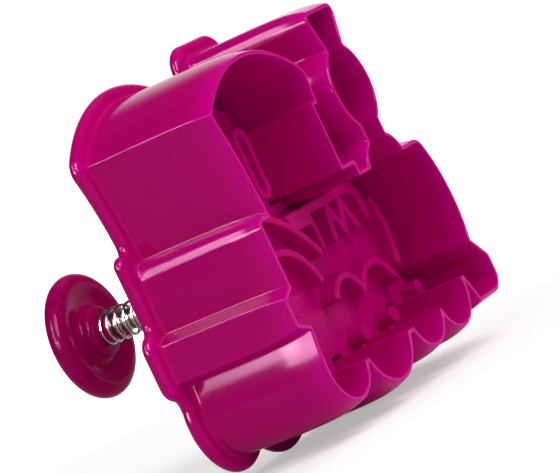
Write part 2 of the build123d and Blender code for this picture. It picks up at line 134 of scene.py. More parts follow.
# Chimney: half widths and heights from its foot up, and where its arcs bulge to
CHIMNEY_SKIRT_FOOT = (7.3, BOILER_TOP)
CHIMNEY_SKIRT_BULGE = (5.95, 36.55)
CHIMNEY_SKIRT_TOP = (3.8, 38.0)
CHIMNEY_STEM_TOP = (3.8, 40.9)
CHIMNEY_BALLOON_BULGE = (7.15, 48.05)
CHIMNEY_NECK = (3.4, 55.2)
CHIMNEY_LIP = (5.3, 60.9)
CHIMNEY_TOP = (5.3, 62.9)
CHIMNEY_LIP_BEND = 1.4
CHIMNEY = (
    (CHIMNEY_SKIRT_FOOT, CREASE, CHIMNEY_SKIRT_BULGE),
    (CHIMNEY_SKIRT_TOP, SOFT_CREASE, None),
    (CHIMNEY_STEM_TOP, SOFT_CREASE, CHIMNEY_BALLOON_BULGE),
    (CHIMNEY_NECK, SOFT_CREASE, None),
    (CHIMNEY_LIP, CREASE, None),
    (CHIMNEY_TOP, CHIMNEY_LIP_BEND, None),
)
OUTLINE_MIDDLE = CHIMNEY_TOP[1] / 2

# Corners of the flange: a point near each, its bend, and the run that leaves it, which is the
# one of the wall's outline with this number or a run of the flange's own
FLANGE_CORNERS = (
    ((-37.5, 11.4), 3.0, 0),
    ((-20.5, 0.0), FLANGE_CREASE, 1),
    ((-1.8, 0.5), FLANGE_CREASE, 3),
    ((11.25, -0.3), FLANGE_CREASE, 4),
    ((24.3, 0.5), FLANGE_CREASE, "heel"),
    ((26.6, -0.3), 0, 6),
    ((36.4, -0.3), 4.5, 7),
    ((40.7, 3.9), 4.5, 8),
    ((40.7, 11.3), 4.5, 9),
    ((36.6, 15.2), FLANGE_CREASE, 10),
    ((33.8, 38.0), 5.2, 11),
    ((26.6, 38.0), FLANGE_CREASE, 12),
    ((24.8, 39.8), FLANGE_CREASE, 14),
    ((24.7, 56.4), FLANGE_CREASE, 15),
    ((26.0, 60.3), 2.6, 16),
    ((26.0, 66.6), 4.2, 17),
    ((8.0, 66.6), 4.2, 18),
    ((8.0, 60.3), 2.6, 19),
    ((9.3, 56.4), FLANGE_CREASE, 20),
    ((8.5, 55.3), FLANGE_CREASE, "web"),
    ((6.5, 55.3), FLANGE_CREASE, "roof tip"),
    ((6.1, 55.9), 0, 29),
    ((4.3, 58.3), 3.0, 30),
    ((-37.0, 56.5), 3.4, "cab rear"),
    ((-34.3, 39.6), 1.2, 32),
    ((-37.5, 39.6), 1.8, 33),
    ((-37.5, 26.3), FLANGE_CREASE, 34),
    ((-40.7, 25.0), 3.0, 35),
    ((-40.7, 14.8), 3.0, "under buffer"),
    ((-37.5, 13.5), FLANGE_CREASE, 33),
)

# Stamp's outline under the roof
STAMP_ROOF = ((-30.3, 53.0), (-15.1, 57.0), (0.1, 53.0))

# Relief on the stamp's face: centres, radii and angles in degrees of arcs, points of ribs, and
# places and sizes of pegs and windows
INNER_GUARD = ((-11.8, 16.6), 11.3, 16.0, 164.0)
OUTER_GUARD_CENTRE = (-19.9, 8.2)
OUTER_GUARD_RADIUS = 27.9
OUTER_GUARD_ANGLES = (34.5, 71.7)
OUTER_TAIL_RADIUS = 12.6
OUTER_TAIL_END = 188.0
FIREBOX_REAR = -3.4
FIREBOX_FRONT = 4.0
FIREBOX_BOTTOM = 29.4
POST_FOOT = 24.2
POST_WIDTH = 1.2
BAND_WIDTH = 1.9
BAND_BEND = 3.2
BAND_END = (23.9, 26.2)
ZIGZAG = ((9.8, 25.2), (11.7, 30.9), (14.3, 25.2), (16.7, 30.9), (19.2, 25.2))
SMOKEBOX_RIB_STATION = 29.4
SMOKEBOX_RIB_HEIGHTS = (15.2, 28.4)
SMOKEBOX_RIB_RADIUS = 17.0
FIRST_ARCH = ((6.0, 13.5), 5.3, 5.0, 157.0)
SECOND_ARCH = ((17.3, 11.9), 6.35, 27.0, 160.0)
SECOND_ARCH_TIP = (26.0, 11.9)
PEG_STATIONS = (-27.1, 5.2, 17.3)
PEG_HEIGHT = 8.1
PEG_RADIUS = 1.6
PEG_STRAIGHT = 0.02
BUTTON = (-9.7, 14.0, 2.5)
BUFFER_PEG = (30.3, 9.5, 2.8, 3.2)
WINDOW_STATIONS = (-23.9, -5.8)
WINDOW = (43.6, 4.5, 13.4)
WINDOW_BAND = 1.1
RELIEF_INSET = 1.4
RIB_END_BEND = 0.25

# How much each rib stands above the one before, so that no tops coincide where ribs cross
RIB_STEP = 0.015

# Small roundings, in millimetres
PLATE_BEND = 0.4
GUIDE_EDGE = 0.4
BORE_EDGE = 0.15
SEAT_ROOT = 0.2
SEAT_INNER_EDGE = 0.25
SEAT_OUTER_EDGE = 0.35
HUB_EDGE = 0.4
HUB_BORE_EDGE = 0.1
ROD_EDGE = 0.3
KNOB_BORE_EDGE = 0.1
SPIGOT_EDGE = 0.2
BOSS_FOOT = 0.7

# Wear that the materials show on edges, from 0 to 1; on plastic the same mark also paints the edges
# paler as a painted highlight
LAND_WEAR_AND_SHEEN = 0.15
RIM_WEAR_AND_SHEEN = 0.1
RIB_WEAR_AND_SHEEN = 0.05

# Plastic: depth in millimetres over which the thin wall is painted paler as a painted glow of light
# through it, least roughness, share of full gloss, and how fine its clouds, grain, specks and flow
# streaks are
PAINTED_GLOW_REACH = 5.0
PLASTIC_ROUGHNESS = 0.07
STAMP_ROUGHNESS = 0.22
KNOB_ROUGHNESS = 0.11
PLASTIC_GLOSS = 0.13
STAMP_GLOSS = 0.03
KNOB_GLOSS = 0.06
GLOSS_TINT = (1.0, 0.5, 0.85)
CLOUD_SCALE = 70.0
GRAIN_SCALE = 2600.0
SPECK_SCALE = 5200.0
STREAK_SCALES = (1400.0, 90.0, 1400.0)

# Steel: least roughness, and how fine its drawn lines and dull patches are
ROD_ROUGHNESS = 0.16
WIRE_ROUGHNESS = 0.2
ROD_LINES = (1600.0, 60.0, 1600.0)
WIRE_LINES = (900.0, 900.0, 900.0)
PATCH_SCALE = 240.0

# Stage: glow of the floor, share of its colour that the camera sees, and the distances in metres
# between which it fades to white; where the backdrop begins and ends for gloss
FLOOR_GLOW = 0.42
FLOOR_SEEN = 0.72
FLOOR_NEAR = 0.12
FLOOR_FAR = 0.5
BACKDROP_EDGE = (0.72, 0.92)
WHITE = (1.0, 1.0, 1.0, 1.0)

# Lamps: name, direction, distance, width, height, power, and whether gloss or colour shows them
LAMPS = (
    ("Band", (-0.785, 0.38, 0.48), 1.0, 0.66, 0.27, 25.0, "gloss"),
    ("Low band", (-0.97, 0.14, 0.21), 1.0, 0.20, 0.50, 18.0, "gloss"),
    ("Glint", (-0.66, -0.42, 0.63), 0.8, 0.50, 0.30, 24.0, "gloss"),
    ("Front", (0, -0.70, 0.70), 0.9, 0.50, 0.50, 4.4, "colour"),
    ("Left", (-0.65, -0.75, 0.15), 0.9, 0.50, 0.50, 1.8, "colour"),
    ("Key", (-0.70, 0, 0.70), 0.9, 0.50, 0.50, 1.6, "colour"),
    ("Right", (0.70, -0.10, 0.70), 0.9, 0.50, 0.50, 3.2, "colour"),
)

# Mesh fineness: spacings and the least bend in millimetres, steps of bends and turns, and how the
# rows of the cavity and the wall share out their depth. From ROUND_BEND on, a bend grows with
# its outline
POINT_SPACING = 0.45
ARC_SAMPLES = 8
NEARLY_ROUND = 1.9 * math.pi
BEND_STEPS = 5
LEAST_BEND = 0.12
ROUND_BEND = 1.0
MERGE_DISTANCE = 0.002
CAVITY_ROWS = (0.8, 0.6, 0.4, 0.2, 0.08)
WALL_ROWS = 16
WALL_CROWDING = 1.7
RIB_SPACING = 0.35
LATHE_STEPS = 96
ROD_STEPS = 64
KNOB_STEPS = 12
TURN_STEPS = 48
WIRE_SIDES = 14
NORMAL_WEIGHT = 80


def length(name, description, millimetres):
    """Property for a length, given in millimetres."""
    return bpy.props.FloatProperty(
        name=name,
        description=description,
        default=millimetres * MM,
        min=0.0,
        unit="LENGTH",
        precision=5,
    )


def plain_number(name, description, default):
    """Property for a plain number."""
    return bpy.props.FloatProperty(name=name, description=description, default=default, min=0.0)


def place_setting(name, description, *millimetres):
    """Property for a point or shift, given in millimetres."""
    return bpy.props.FloatVectorProperty(
        name=name,
        description=description,
        default=[part * MM for part in millimetres],
        size=3,
        subtype="TRANSLATION",
    )


def angle_setting(name, description, degrees):
    """Property for an angle, given in degrees."""
    return bpy.props.FloatProperty(
        name=name, description=description, default=math.radians(degrees), subtype="ANGLE"
    )


def colour(name, description, red, green, blue):
    """Property for a colour."""
    return bpy.props.FloatVectorProperty(
        name=name,
        description=description,
        default=(red, green, blue),
        min=0.0,
        max=1.0,
        size=3,
        subtype="COLOR",
    )


class ShellSizes(bpy.types.PropertyGroup):
    """Sizes of the moulded shell."""

    blade_land: length("Cutting land", "Width of the flat cutting edge", 0.65)
    land_round: length("Edge rounding", "Rounding of the cutting edge", 0.16)
    mouth_flare: length("Mouth flare", "How far the wall widens just behind the cutting edge", 0.95)
    flare_reach: length("Flare reach", "Depth over which the wall widens", 3.2)
    wall_flare: length("Wall draft", "How far the wall widens by the flange with its draft", 0.2)
    roof_spread: length("Roof spread", "How much further the wall stands out over the roof", 0.4)
    wheel_spread: length("Wheel spread", "How much further the wall stands out under wheels", 0.65)
    flange_thickness: length("Flange thickness", "Thickness of the rolled flange", 2.7)
    flange_round: length("Flange rounding", "Rounding of the flange's front edge", 1.3)
    flange_roll: length("Flange roll", "How far in the rounding of the flange's back begins", 2.1)
    root_round: length("Root rounding", "Hollow between the wall and the flange", 0.8)
    seat_radius: length("Seat radius", "Outer radius of the ring that the spring sits in", 4.8)
    seat_bore: length("Seat bore", "Inner radius of the ring that the spring sits in", 3.45)
    guide_radius: length("Guide radius", "Outer radius of the boss that guides the rod", 4.2)
    guide_bore: length("Guide bore", "Radius of the hole that the rod runs in", 2.08)


class StampSizes(bpy.types.PropertyGroup):
    """Sizes of the embossing stamp."""

    inset: length("Inset", "Distance from the shell's cutting edge in to the stamp's edge", 1.2)
    edge_round: length("Edge rounding", "Rounding of the stamp's edge", 0.3)
    relief_height: length("Relief height", "Height of the raised relief", 3.6)
    button_height: length("Button height", "Height of the low round button of the relief", 0.5)
    relief_draft: length("Relief draft", "How far a rib narrows from its root to its top", 0.12)
    relief_round: length("Relief rounding", "Rounding of a rib's top edges", 0.35)
    relief_root: length("Relief root", "Hollow at a rib's foot", 0.3)
    rib_width: length("Rib width", "Width of the relief's ribs", 1.5)
    hub_radius: length("Hub radius", "Radius of the hub that holds the rod", 4.0)


class PlungerSizes(bpy.types.PropertyGroup):
    """Sizes of the knob, the rod and the spring."""

    knob_radius: length("Knob radius", "Outer radius of the knob", 11.75)
    rim_round: length("Rim rounding", "Radius of the knob's round rim", 2.1)
    crown: length("Crown", "Height of the knob's crown above its rim's middle", 3.3)
    boss_radius: length("Boss radius", "Radius of the boss under the knob", 4.75)
    boss_edge: length("Boss edge", "Rounding of the boss's edge", 0.9)
    dish_radius: length("Dish radius", "Radius of the flat floor round the boss", 5.6)
    dish_floor: length("Dish floor", "Height of that floor below the rim's middle", 1.2)
    spigot_radius: length("Spigot radius", "Radius of the spigot inside the spring", 2.45)
    spigot_length: length("Spigot length", "Length of the spigot inside the spring", 2.3)
    rod_radius: length("Rod radius", "Radius of the steel rod", 2.0)
    wire: length("Wire", "Diameter of the spring's wire", 0.6)
    coil_radius: length("Coil radius", "Radius of the spring's coil at the wire's centre", 2.9)
    end_pitch: length("End pitch", "Rise of the first and last turn", 1.1)
    turns: bpy.props.IntProperty(
        name="Turns", description="Open turns between the two end turns", default=14, min=2
    )


class Finishes(bpy.types.PropertyGroup):
    """Colours of the pieces and the stage."""

    shell: colour("Shell", "Colour of the moulded shell", 0.44, 0.0, 0.135)
    stamp: colour("Stamp", "Colour of the moulded stamp", 0.44, 0.0, 0.14)
    knob: colour("Knob", "Colour of the moulded knob", 0.36, 0.0, 0.10)
    rod: colour("Rod", "Colour of the steel rod", 0.40, 0.35, 0.34)
    spring: colour("Spring", "Colour of the spring steel", 0.48, 0.42, 0.41)
    floor: colour("Floor", "Colour of the floor", 0.82, 0.82, 0.82)


Line = namedtuple("Line", "origin along")
Arc = namedtuple("Arc", "centre radius turn")
Corner = namedtuple("Corner", "hint bend run")


def left_of(direction):
    """Direction a quarter turn to the left."""
    return Vector((-direction.y, direction.x))


def bearing(direction):
    """Angle of a direction."""
    return math.atan2(direction.y, direction.x)


def line(start, end):
    """Straight run from one point to another."""
    return Line(Vector(start), (Vector(end) - Vector(start)).normalized())


def arc(start, middle, end):
    """Arc run through three points."""
    a, b, c = Vector(start), Vector(middle), Vector(end)
    first, second = b - a, c - a
    area = 2 * first.cross(second)
    centre = a + left_of(first * second.length_squared - second * first.length_squared) / area
    return Arc(centre, (a - centre).length, 1 if area > 0 else -1)


def wheel(station, height, radius):
    """Run round a wheel, with the wheel on its left."""
    return Arc(Vector((station, height)), radius, 1)


def grown(run, amount):
    """A run moved to its right, which is outwards."""
    if isinstance(run, Line):
        return Line(run.origin - left_of(run.along) * amount, run.along)
    return Arc(run.centre, run.radius + run.turn * amount, run.turn)


def nearest(run, point):
    """Point of a run that is nearest to a point."""
    if isinstance(run, Line):
        return run.origin + run.along * (point - run.origin).dot(run.along)
    return run.centre + (point - run.centre).normalized() * run.radius


def heading(run, point):
    """Direction of travel of a run at a point."""
    if isinstance(run, Line):
        return run.along
    return left_of((point - run.centre).normalized()) * run.turn


def crossing(first, second, hint):
    """Where two runs cross, nearest to a hint."""
    if isinstance(first, Line) and isinstance(second, Line):
        share = (second.origin - first.origin).cross(second.along) / first.along.cross(second.along)
        return first.origin + first.along * share
    if isinstance(second, Line):
        first, second = second, first
    if isinstance(first, Line):
        foot = nearest(first, second.centre)
        reach = second.radius**2 - (foot - second.centre).length_squared
        sideways = first.along
    else:
        gap = second.centre - first.centre
        span = gap.length
        share = (first.radius**2 - second.radius**2 + span**2) / (2 * span)
        foot = first.centre + gap * share / span
        reach = first.radius**2 - share**2
        sideways = left_of(gap / span)
    reach = math.sqrt(max(reach, 0.0))
    return min((foot + sideways * reach, foot - sideways * reach), key=lambda p: (p - hint).length)


def swept(centre, turn, start, end, steps):
    """Points along an arc from one point up to, and without, another. An arc that is nearly a full
    turn is a short one that runs back."""
    start_angle = bearing(start - centre)
    sweep = (bearing(end - centre) - start_angle) * turn % math.tau
    if sweep > NEARLY_ROUND:
        sweep -= math.tau
    radius = (start - centre).length
    angles = [start_angle + turn * sweep * step / steps for step in range(steps)]
    return [centre + radius * Vector((math.cos(a), math.sin(a))) for a in angles]


def bends(corners, growth):
    """Rounded corners of an outline: where each starts, its centre, its turn and where it ends.
    A large bend widens as the outline grows, and a small one stays as tight as it is."""
    runs = [grown(corner.run, growth) for corner in corners]
    found = []
    for index, corner in enumerate(corners):
        before, after = runs[index - 1], runs[index]
        point = crossing(before, after, corner.hint)
        if not corner.bend:
            found.append((point, point, 0, point))
            continue
        turn = 1 if heading(before, point).cross(heading(after, point)) > 0 else -1
        follows = turn * growth if corner.bend >= ROUND_BEND else 0
        radius = max(corner.bend + follows, LEAST_BEND)
        centre = crossing(grown(before, -turn * radius), grown(after, -turn * radius), point)
        found.append((nearest(before, centre), centre, turn, nearest(after, centre)))
    return runs, found


def step_counts(corners, growth=0.0, spacing=POINT_SPACING):
    """How many steps each run of an outline gets, the same at every growth."""
    runs, rounded = bends(corners, growth)
    counts = []
    for index, run in enumerate(runs):
        start, end = rounded[index][3], rounded[(index + 1) % len(rounded)][0]
        span = (end - start).length
        if isinstance(run, Arc):
            points = swept(run.centre, run.turn, start, end, ARC_SAMPLES) + [end]
            span = sum((b - a).length for a, b in zip(points, points[1:]))
        counts.append(max(2, math.ceil(span / spacing)))
    return counts


def outline(corners, growth, counts):
    """Closed ring of points along an outline, grown outwards, with its corners rounded."""
    runs, rounded = bends(corners, growth)
    points = []
    for index, (run, count) in enumerate(zip(runs, counts)):
        entry, centre, turn, start = rounded[index]
        end = rounded[(index + 1) % len(rounded)][0]
        if turn:
            points += swept(centre, turn, entry, start, BEND_STEPS)
        if isinstance(run, Line):
            points += [start.lerp(end, step / count) for step in range(count)]
        else:
            points += swept(run.centre, run.turn, start, end, count)
    return points


def chain(*stops):
    """Corners of a closed outline from its stops: a point, the corner's bend there, and the run
    that leaves it, which is straight to the next stop if it isn't given."""
    corners = []
    for index, (point, bend, run) in enumerate(stops):
        next_point = stops[(index + 1) % len(stops)][0]
        corners.append(Corner(Vector(point), bend, run or line(point, next_point)))
    return corners


def between(first, second, height):
    """Point at a height halfway between the facing sides of two wheels."""
    return ((first[0] + first[2] + second[0] - second[2]) / 2, height)


def level_run(height):
    """Straight run forward at a height."""
    return Line(Vector((0, height)), Vector((1, 0)))


def chimney_stops():
    """Stops of the chimney, from its front foot up, over its lip and down to its rear foot."""

    def at(side, point):
        return (CHIMNEY_STATION + side * point[0], point[1])

    def bulged(side, start, bulge, end):
        return arc(at(side, start), at(side, bulge), at(side, end)) if bulge else None

    points, corner_bends, bulges = zip(*CHIMNEY)
    front, rear = [], []
    for index, (point, bend) in enumerate(zip(points, corner_bends)):
        above, below = points[(index + 1) % len(points)], points[index - 1]
        front.append((at(1, point), bend, bulged(1, point, bulges[index], above)))
        rear.insert(0, (at(-1, point), bend, bulged(-1, point, bulges[index - 1], below)))
    return front + rear


def wheel_stops():
    """Stops of the wheels and the underframe, from behind the rear wheel to the bumper, for an
    outline that isn't smaller than the cutting edge."""
    first, second = FRONT_WHEELS
    gap_start = (BIG_WHEEL[0] + BIG_WHEEL[2], UNDERFRAME_HEIGHT)
    gap_end = (first[0] - first[2], UNDERFRAME_HEIGHT)
    return [
        (REAR_WHEEL_TOP, 0, wheel(*REAR_WHEEL)),
        (between(REAR_WHEEL, BIG_WHEEL, UNDERFRAME_HEIGHT), CREASE, wheel(*BIG_WHEEL)),
        (gap_start, NARROW_CREASE, level_run(UNDERFRAME_HEIGHT)),
        (gap_end, NARROW_CREASE, wheel(*first)),
        (between(first, second, UNDERFRAME_HEIGHT), CREASE, wheel(*second)),
    ]


def inner_wheel_stops():
    """The same stops for a smaller outline, in which each gap between wheels has a flat end."""
    wheels = (REAR_WHEEL, BIG_WHEEL, *FRONT_WHEELS)
    stops = [(REAR_WHEEL_TOP, 0, wheel(*REAR_WHEEL))]
    for near, far in zip(wheels, wheels[1:]):
        middle = between(near, far, UNDERFRAME_HEIGHT)
        stops.append((middle, NARROW_CREASE, level_run(UNDERFRAME_HEIGHT)))
        stops.append((middle, NARROW_CREASE, wheel(*far)))
    stops.append((BUMPER_REAR, NARROW_CREASE, level_run(REAR_WHEEL[1])))
    return stops


def body_rear_stops():
    """Stops down the back of the body, round its buffer."""
    tip = BODY_REAR - BUFFER_REACH
    return [
        ((BODY_REAR, CAB_FLOOR), BODY_SHOULDER, None),
        ((BODY_REAR, BUFFER_HEIGHT + BUFFER_ROOT / 2), CREASE, None),
        ((tip, BUFFER_HEIGHT + BUFFER_TIP / 2), CREASE, None),
        ((tip, BUFFER_HEIGHT - BUFFER_TIP / 2), CREASE, None),
        (BUFFER_FOOT, CREASE, arc(BUFFER_FOOT, REAR_GUARD_MIDDLE, REAR_WHEEL_TOP)),
    ]


def front_stops():
    """Stops of the bumper and the smokebox front."""
    shoulder = (BOILER_SHOULDER, BOILER_TOP)
    return [
        (BUMPER_REAR, CREASE, None),
        ((BUMPER_HEEL, BUMPER_KEEL[1]), CREASE, None),
        (BUMPER_KEEL, BUMPER_KEEL_BEND, None),
        ((BUMPER_NOSE, BUMPER_NOSE_BOTTOM), BUMPER_NOSE_BEND, None),
        ((BUMPER_NOSE, BUMPER_NOSE_TOP), BUMPER_NOSE_BEND, None),
        (BUMPER_ROOT, CREASE, arc(BUMPER_ROOT, BOILER_NOSE, shoulder)),
        (shoulder, BOILER_SHOULDER_BEND, None),
    ]


def rear_wall(bow=CAB_REAR_BOW):
    """Bowed rear wall of the cab, from the eave down."""
    middle = ((CAB_REAR + REAR_EAVE[0]) / 2 + bow, (CAB_FLOOR + REAR_EAVE[1]) / 2)
    return arc(REAR_EAVE, middle, (CAB_REAR, CAB_FLOOR))


def cab_stops(*roof):
    """Stops of the running step and the cab round the roof's stops, from the front to the rear."""
    return [
        ((STEP_FRONT, BOILER_TOP), CREASE, None),
        ((STEP_FRONT, STEP_HEIGHT), CREASE, None),
        ((CAB_FRONT, STEP_HEIGHT), CREASE, None),
        *roof,
        ((CAB_REAR, CAB_FLOOR), CREASE, None),
    ]


def shell_cab_stops():
    """Stops of the shell's cab, whose roof overhangs."""
    return cab_stops(
        ((CAB_FRONT, ROOF_LIP[1]), CREASE, None),
        (ROOF_LIP, CREASE, None),
        (ROOF_TIP, SOFT_CREASE, None),
        (FRONT_EAVE, SOFT_CREASE, arc(FRONT_EAVE, ROOF_CROWN, REAR_EAVE)),
        (REAR_EAVE, CREASE, rear_wall()),
    )


def stamp_cab_stops(inset):
    """Stops of the stamp's cab with its own roof, set so that the inset brings it in place."""
    roof = arc(*reversed(STAMP_ROOF))
    rear, _, front = STAMP_ROOF
    return cab_stops(
        ((CAB_FRONT, front[1]), CREASE, Arc(roof.centre, roof.radius + inset, roof.turn)),
        (rear, CREASE, rear_wall()),
    )


def locomotive(wheels, cab):
    """Corners of the locomotive's outline, anticlockwise, with the wheels and the cab given."""
    return chain(*wheels, *front_stops(), *chimney_stops(), *cab, *body_rear_stops())


def place(point, depth):
    """Position of an outline's point at a depth, in millimetres."""
    return Vector((point[0], MOUTH_Y / MM + depth, point[1] + GROUND))


def in_millimetres(settings):
    """Values of a settings group, with its lengths in millimetres."""
    values = {}
    for setting in settings.bl_rna.properties:
        if setting.identifier in ("rna_type", "name"):
            continue
        value = getattr(settings, setting.identifier)
        values[setting.identifier] = value / MM if setting.unit == "LENGTH" else value
    return SimpleNamespace(**values)


def crease_marks(corners, counts):
    """How sharply the outline turns at each of its points: up to 1 outwards and -1 inwards."""
    _, rounded = bends(corners, 0.0)
    marks = []
    for (_, _, turn, _), count in zip(rounded, counts):
        if turn:
            ways = [math.pi * (step + 0.5) / BEND_STEPS for step in range(BEND_STEPS)]
            marks += [turn * math.sin(way) for way in ways]
        marks += [0.0] * count
    return marks


def circle(radius, steps=LATHE_STEPS):
    """Points round a circle about the origin, anticlockwise."""
    angles = [math.tau * step / steps for step in range(steps)]
    return [Vector((radius * math.cos(angle), radius * math.sin(angle))) for angle in angles]


def span(loop, start, end):
    """Vertices of a closed loop from one index up to and with another."""
    return loop[start : end + 1] if start <= end else loop[start:] + loop[: end + 1]


def softened(*stops):
    """Points of an open profile whose corners are rounded by the radius that stands with each."""
    points = []
    for index, (across, depth, bend) in enumerate(stops):
        corner = Vector((across, depth))
        if not bend:
            points.append(corner)
            continue
        back = (Vector(stops[index - 1][:2]) - corner).normalized()
        ahead = (Vector(stops[index + 1][:2]) - corner).normalized()
        half = back.angle(ahead) / 2
        centre = corner + (back + ahead).normalized() * bend / math.sin(half)
        start = corner + back * bend / math.tan(half)
        end = corner + ahead * bend / math.tan(half)
        turn = 1 if ahead.cross(back) > 0 else -1
        points += swept(centre, turn, start, end, BEND_STEPS) + [end]
    return points


class Moulding:
    """A mesh in the making, in millimetres, with a mark on each point for how much wear shows; on
    plastic that mark also paints the point paler as a painted edge highlight.
    """

    def __init__(self):
        self.mesh = bmesh.new()
        self.wear_and_sheen = self.mesh.verts.layers.float.new("wear_and_sheen")

    def loop(self, points, depth, wear_and_sheen=None):
        """Closed loop of vertices along outline points at a depth."""
        made = []
        for index, point in enumerate(points):
            vertex = self.mesh.verts.new(place(point, depth))
            vertex[self.wear_and_sheen] = wear_and_sheen[index] if wear_and_sheen else 0.0
            made.append(vertex)
        return made

    def join(self, first, second):
        """Quads between two loops that match point by point, or a fan to a single vertex."""
        for index, vertex in enumerate(first):
            following = (index + 1) % len(first)
            corners = [vertex, first[following]]
            if len(second) == 1:
                corners.append(second[0])
            else:
                corners += [second[following], second[index]]
            self.mesh.faces.new(corners)

    def skin(self, loops):
        """Quads along a row of loops."""
        for first, second in zip(loops, loops[1:]):
            if len(first) == 1:
                first, second = second, first
            self.join(first, second)

    def skin_rows(self, corners, rows, spread=None):
        """Skin along rows of growth, depth and wear, with more wear where the outline turns, which
        on plastic is also a painted edge highlight. The spread tells how far a point is moved up at
        its height and depth. Returns its loops."""
        counts = step_counts(corners, rows[len(rows) // 2][0])
        marks = crease_marks(corners, counts)
        loops = []
        for growth, depth, wear_and_sheen in rows:
            points = outline(corners, growth, counts)
            if spread:
                points = [Vector((point.x, point.y + spread(point.y, depth))) for point in points]
            loops.append(self.loop(points, depth, [max(mark, wear_and_sheen) for mark in marks]))
        self.skin(loops)
        return loops

    def close(self, outer, hole=None):
        """Flat surface inside a loop. Round a hole it is two faces, parted where both come near."""
        if not hole:
            self.mesh.faces.new(outer)
            return
        tree = KDTree(len(outer))
        for index, vertex in enumerate(outer):
            tree.insert(vertex.co, index)
        tree.balance()
        reached = [tree.find(vertex.co)[1:] for vertex in hole]
        inner_start = min(range(len(hole)), key=lambda index: reached[index][1])
        quarter_way, most = len(hole) // 4, 3 * len(hole) // 4
        far = [(inner_start + offset) % len(hole) for offset in range(quarter_way, most)]
        inner_end = min(far, key=lambda index: reached[index][1])
        outer_start, outer_end = reached[inner_start][0], reached[inner_end][0]
        self.mesh.faces.new(
            span(outer, outer_start, outer_end) + list(reversed(span(hole, inner_start, inner_end)))
        )
        self.mesh.faces.new(
            span(outer, outer_end, outer_start) + list(reversed(span(hole, inner_end, inner_start)))
        )

    def turned(self, profile, steps=LATHE_STEPS):
        """Surface turned about the rod's axis from a profile of radii and depths, as its loops."""
        loops = []
        for radius, depth in profile:
            ring = circle(radius, steps) if radius > 0 else [Vector((0, 0))]
            loops.append(self.loop([point + Vector((0, PLUNGER_HEIGHT)) for point in ring], depth))
        self.skin(loops)
        return loops

    def finish(self, name, material, body, node, slot):
        """Turn the mesh into an object that stands for a node and rides on its body."""
        bmesh.ops.remove_doubles(self.mesh, verts=self.mesh.verts, dist=MERGE_DISTANCE)
        bmesh.ops.recalc_face_normals(self.mesh, faces=self.mesh.faces)
        bmesh.ops.scale(self.mesh, vec=(MM, MM, MM), verts=self.mesh.verts)
        data = bpy.data.meshes.new(name)
        self.mesh.to_mesh(data)
        self.mesh.free()
        data.polygons.foreach_set("use_smooth", [True] * len(data.polygons))
        data.materials.append(material)
        piece = bpy.data.objects.new(name, data)
        bpy.context.scene.collection.objects.link(piece)
        weighted = piece.modifiers.new("Weighted normals", "WEIGHTED_NORMAL")
        weighted.weight = NORMAL_WEIGHT
        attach(piece, body)
        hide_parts(node)
        return piece


def quarter(radius, steps=BEND_STEPS):
    """Shares of a quarter round from its start to its end: how far in and how far along."""
    angles = [math.pi / 2 * step / steps for step in range(steps + 1)]
    return [(radius * (1 - math.cos(angle)), radius * math.sin(angle)) for angle in angles]


def wall_growth(sizes, depth):
    """How far the wall stands outside the cutting edge at a depth."""
    flare = sizes.mouth_flare * (1 - math.exp(-depth / sizes.flare_reach))
    return sizes.wall_flare * depth / BACK_PLATE_DEPTH + flare


def wall_spread(sizes, height, depth):
    """How much further the wall stands out over the roof and chimney and under the wheels."""
    level = height / OUTLINE_MIDDLE - 1
    if level > 0:
        most = sizes.roof_spread
    else:
        most = -sizes.wheel_spread * max(0.0, 1 - (depth / BACK_PLATE_DEPTH) ** 4)
    return most * level**2 * (1 - math.exp(-depth / sizes.flare_reach))


def flange_spread(sizes, height, depth):
    """The same for the flange, whose underside stays level."""
    return max(0.0, wall_spread(sizes, height, depth))


def flange_outline(wall, reach):
    """Corners of the flange, which stands out from the wall by a reach and whose rim runs straight
    past the narrow gaps of the wall's outline."""
    buffer_tip = (BODY_REAR - BUFFER_REACH, BUFFER_HEIGHT - BUFFER_TIP / 2)
    own_runs = {
        "heel": Arc(Vector((BUMPER_HEEL, BUMPER_KEEL[1])), 0.0, 1),
        "web": Line(Vector((0, FRONT_EAVE[1] - reach)), Vector((-1, 0))),
        "roof tip": Arc(Vector(ROOF_TIP), 0.0, 1),
        "cab rear": rear_wall(FLANGE_BOW),
        "under buffer": line(buffer_tip, (BODY_REAR, BUFFER_HEIGHT - BUFFER_ROOT / 2)),
    }
    corners = []
    for hint, bend, choice in FLANGE_CORNERS:
        run = own_runs[choice] if choice in own_runs else wall[choice].run
        corners.append(Corner(Vector(hint), bend, grown(run, reach)))
    return corners


def inner_rows(sizes):
    """Growth, depth and wear of the cavity's side, from the back plate to the cutting edge; the
    wear on the cutting edge also paints a highlight on plastic.
    """
    land, edge = sizes.blade_land, sizes.land_round
    corner, back = -land - PLATE_BEND, BACK_PLATE_DEPTH
    rows = [(corner + run, back - rise, 0.0) for rise, run in quarter(PLATE_BEND)]
    rows += [(-land, back * share, 0.0) for share in CAVITY_ROWS]
    return rows + [(-land + rise, edge - run, LAND_WEAR_AND_SHEEN) for rise, run in quarter(edge)]


def outer_rows(sizes):
    """Growth, depth and wear of the wall's outside, from the cutting edge to the flange's root; the
    wear on the cutting edge also paints a highlight on plastic.
    """
    edge, root = sizes.land_round, sizes.root_round
    flange_front = SHELL_DEPTH - sizes.flange_thickness
    rows = [
        (-edge + run + wall_growth(sizes, rise), rise, LAND_WEAR_AND_SHEEN) for rise, run in quarter(edge)
    ]
    reach = flange_front - root - edge
    depths = [edge + reach * (step / WALL_ROWS) ** WALL_CROWDING for step in range(1, WALL_ROWS)]
    rows += [(wall_growth(sizes, depth), depth, 0.0) for depth in depths]
    wall = wall_growth(sizes, flange_front - root)
    return rows + [(wall + rise, flange_front - root + run, 0.0) for rise, run in quarter(root)]


